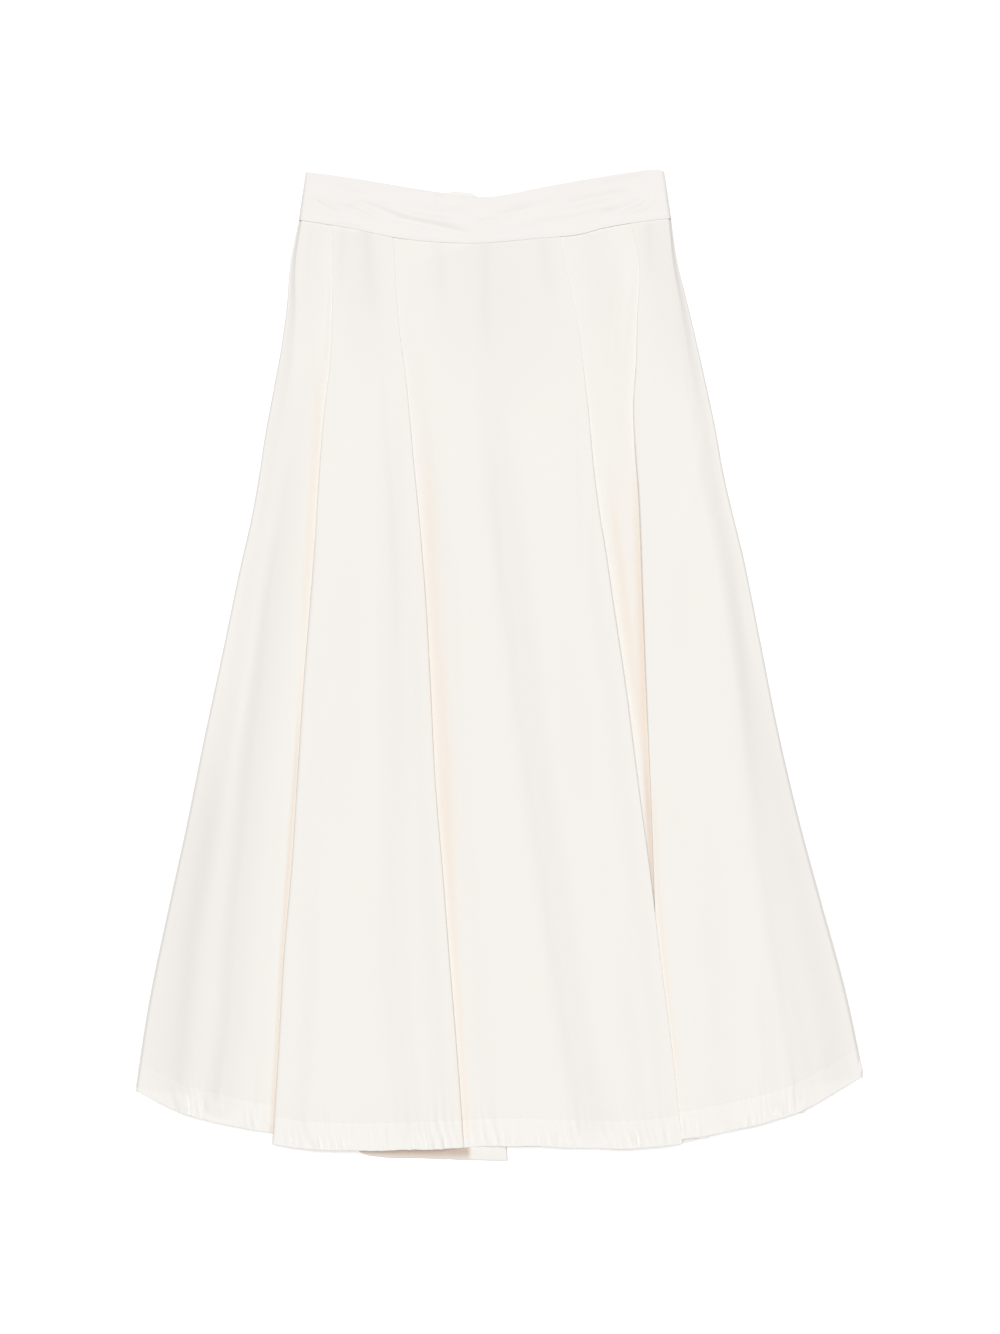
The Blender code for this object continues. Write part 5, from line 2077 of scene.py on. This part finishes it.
@dataclass(frozen=True)
class CottonFinish:
    """Matte plain-woven cotton.

    Attributes:
        name: The material's name.
        colour: Its base colour.
        shade: The colour between its threads.
        warm: Colour of its painted warm shade in a fold, where many plies lie behind each other.
        threads: Threads in a metre.
        height: How far the weave stands out, in mm.
        relief: How strongly that shows.
        roughness: Its roughness.
        gloss: How much it mirrors.
        sheen: How much nap it shows.
        nap: How rough that nap is.
        strength: How far its tone changes.
    """

    name: str
    colour: Colour
    shade: Colour
    warm: Colour
    threads: float = 2400.0
    height: float = 0.02
    relief: float = 0.35
    roughness: float = 0.92
    gloss: float = 0.2
    sheen: float = 0.05
    nap: float = 0.5
    strength: float = 0.12

    def material(self, weave: bpy.types.NodeTree, tone: bpy.types.NodeTree) -> bpy.types.Material:
        """Builds the material from the shared groups.

        Args:
            weave: The plain weave group.
            tone: The tone group.

        Returns:
            The material.
        """
        material = bpy.data.materials.new(self.name)
        material.use_nodes = True
        tree = material.node_tree
        shader = tree.nodes["Principled BSDF"]
        shader.inputs["Roughness"].default_value = self.roughness
        shader.inputs["Metallic"].default_value = 0.0
        shader.inputs["Specular IOR Level"].default_value = self.gloss
        shader.inputs["Sheen Weight"].default_value = self.sheen
        shader.inputs["Sheen Roughness"].default_value = self.nap
        place = tree.nodes.new("ShaderNodeUVMap")
        place.uv_map = "cloth"
        woven = tree.nodes.new("ShaderNodeGroup")
        woven.node_tree = weave
        woven.inputs["Threads"].default_value = self.threads
        tree.links.new(place.outputs[0], woven.inputs["Cloth"])
        toned = tree.nodes.new("ShaderNodeGroup")
        toned.node_tree = tone
        toned.inputs["Colour"].default_value = (*self.colour, 1.0)
        toned.inputs["Shade"].default_value = (*self.shade, 1.0)
        # Colour of the painted warm shade in the folds
        toned.inputs["Warm"].default_value = (*self.warm, 1.0)
        toned.inputs["Strength"].default_value = self.strength
        # Strengths of each painted shade and of the doubled tone with its painted light, from the shell's
        # attributes
        for attribute, (strength, _) in SHADES.items():
            shade = tree.nodes.new("ShaderNodeAttribute")
            shade.attribute_name = attribute
            tree.links.new(shade.outputs["Fac"], toned.inputs[strength])
        tree.links.new(place.outputs[0], toned.inputs["Cloth"])
        tree.links.new(woven.outputs["Gaps"], toned.inputs["Gaps"])
        tree.links.new(toned.outputs["Colour"], shader.inputs["Base Color"])
        bump = tree.nodes.new("ShaderNodeBump")
        bump.inputs["Strength"].default_value = self.relief
        bump.inputs["Distance"].default_value = self.height * MM
        tree.links.new(woven.outputs["Height"], bump.inputs["Height"])
        tree.links.new(bump.outputs[0], shader.inputs["Normal"])
        return material


@dataclass
class Studio:
    """The pale floor, the soft light and the camera straight above.

    Attributes:
        view_height: Height of the picture on the surface, in metres.
        lens: The camera's focal length, in mm.
        film: Long side of its film, in mm.
        middle: Place that it looks at, in metres.
        key: Strength of the broad light.
        key_tilt: How far that light stands off the camera's line, in degrees, across and along.
        key_spread: Its apparent width, in degrees.
        fill: Strength of the light from all round.
        floor_size: Width of the floor, in metres.
        floor_height: Height of the floor, just under the cloth, in metres.
        paper: Brightness of its white paper.
        reach: How far the camera sees, in metres.
    """

    view_height: float = 1.334
    lens: float = 90.0
    film: float = 36.0
    middle: tuple[float, float] = (0.0005, -0.002)
    key: float = 2.78
    key_tilt: tuple[float, float] = (-1.5, 6.0)
    key_spread: float = 36.0
    fill: float = 0.22
    floor_size: float = 8.0
    floor_height: float = -0.0006
    paper: float = 0.955
    reach: float = 20.0

    def build(self) -> None:
        """Builds the floor, the lights and the camera."""
        scene = bpy.context.scene
        scene.view_settings.view_transform = "Standard"
        bpy.ops.mesh.primitive_plane_add(size=self.floor_size, location=(0.0, 0.0, self.floor_height))
        floor = bpy.context.object
        floor.name = "floor"
        paper = bpy.data.materials.new("white_paper")
        paper.use_nodes = True
        shader = paper.node_tree.nodes["Principled BSDF"]
        shader.inputs["Base Color"].default_value = (*[self.paper] * 3, 1.0)
        shader.inputs["Roughness"].default_value = 1.0
        shader.inputs["Specular IOR Level"].default_value = 0.0
        floor.data.materials.append(paper)
        light = bpy.data.lights.new("broad_light", "SUN")
        light.energy = self.key
        light.angle = math.radians(self.key_spread)
        lamp = bpy.data.objects.new("broad_light", light)
        across, along = (math.tan(math.radians(value)) for value in self.key_tilt)
        lamp.rotation_euler = Vector((across, along, 1.0)).to_track_quat("Z", "Y").to_euler()
        scene.collection.objects.link(lamp)
        world = bpy.data.worlds.new("soft_room")
        world.use_nodes = True
        background = world.node_tree.nodes["Background"]
        background.inputs["Color"].default_value = (1.0, 1.0, 1.0, 1.0)
        background.inputs["Strength"].default_value = self.fill
        scene.world = world
        camera = bpy.data.cameras.new("camera")
        camera.lens, camera.sensor_width = self.lens, self.film
        camera.clip_end = self.reach
        eye = bpy.data.objects.new("camera", camera)
        eye.location = (*self.middle, self.view_height * self.lens / self.film)
        scene.collection.objects.link(eye)
        scene.camera = eye


def main() -> None:
    """Builds the skirt's pieces in order, dresses them and lights them."""
    logging.basicConfig(level=logging.INFO, format="%(name)s: %(message)s")
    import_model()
    weave, tone = PlainWeave().group(), ClothTone().group()
    # The third colour of each cotton is the colour of its painted warm shade in folds
    cottons = (
        CottonFinish("ivory_cotton", (0.842, 0.819, 0.782), (0.79, 0.75, 0.70), (0.838, 0.745, 0.648)),
        CottonFinish("band_cotton", (0.842, 0.811, 0.788), (0.81, 0.75, 0.70), (0.838, 0.745, 0.648)),
        CottonFinish("zip_tape", (0.80, 0.765, 0.715), (0.7, 0.66, 0.6), (0.75, 0.70, 0.62), 1600.0),
    )
    finishes = {cotton.name: cotton.material(weave, tone) for cotton in cottons}

    front, backs, closed_zip = FrontPanel().build(), BackPanels().build(), ClosedZip()
    stitches = HemStitches()
    made = [front, *backs, FrontBand().build(), *BackBand().build()]
    made += [PocketBag().build(side) for side in Edge]
    made += [closed_zip.build_tape(), closed_zip.build_coils(), closed_zip.build_slider()]
    made.append(stitches.build(front.hem_line, "front_hem_stitches"))
    for half, side in zip(backs, ("left", "right")):
        made.append(stitches.build(half.hem_line, f"back_hem_stitches_{side}"))
    {piece.item.name: piece.settle(finishes[piece.slot]) for piece in made}
    Studio().build()

    bpy.context.view_layer.update()


if __name__ == "__main__":
    main()
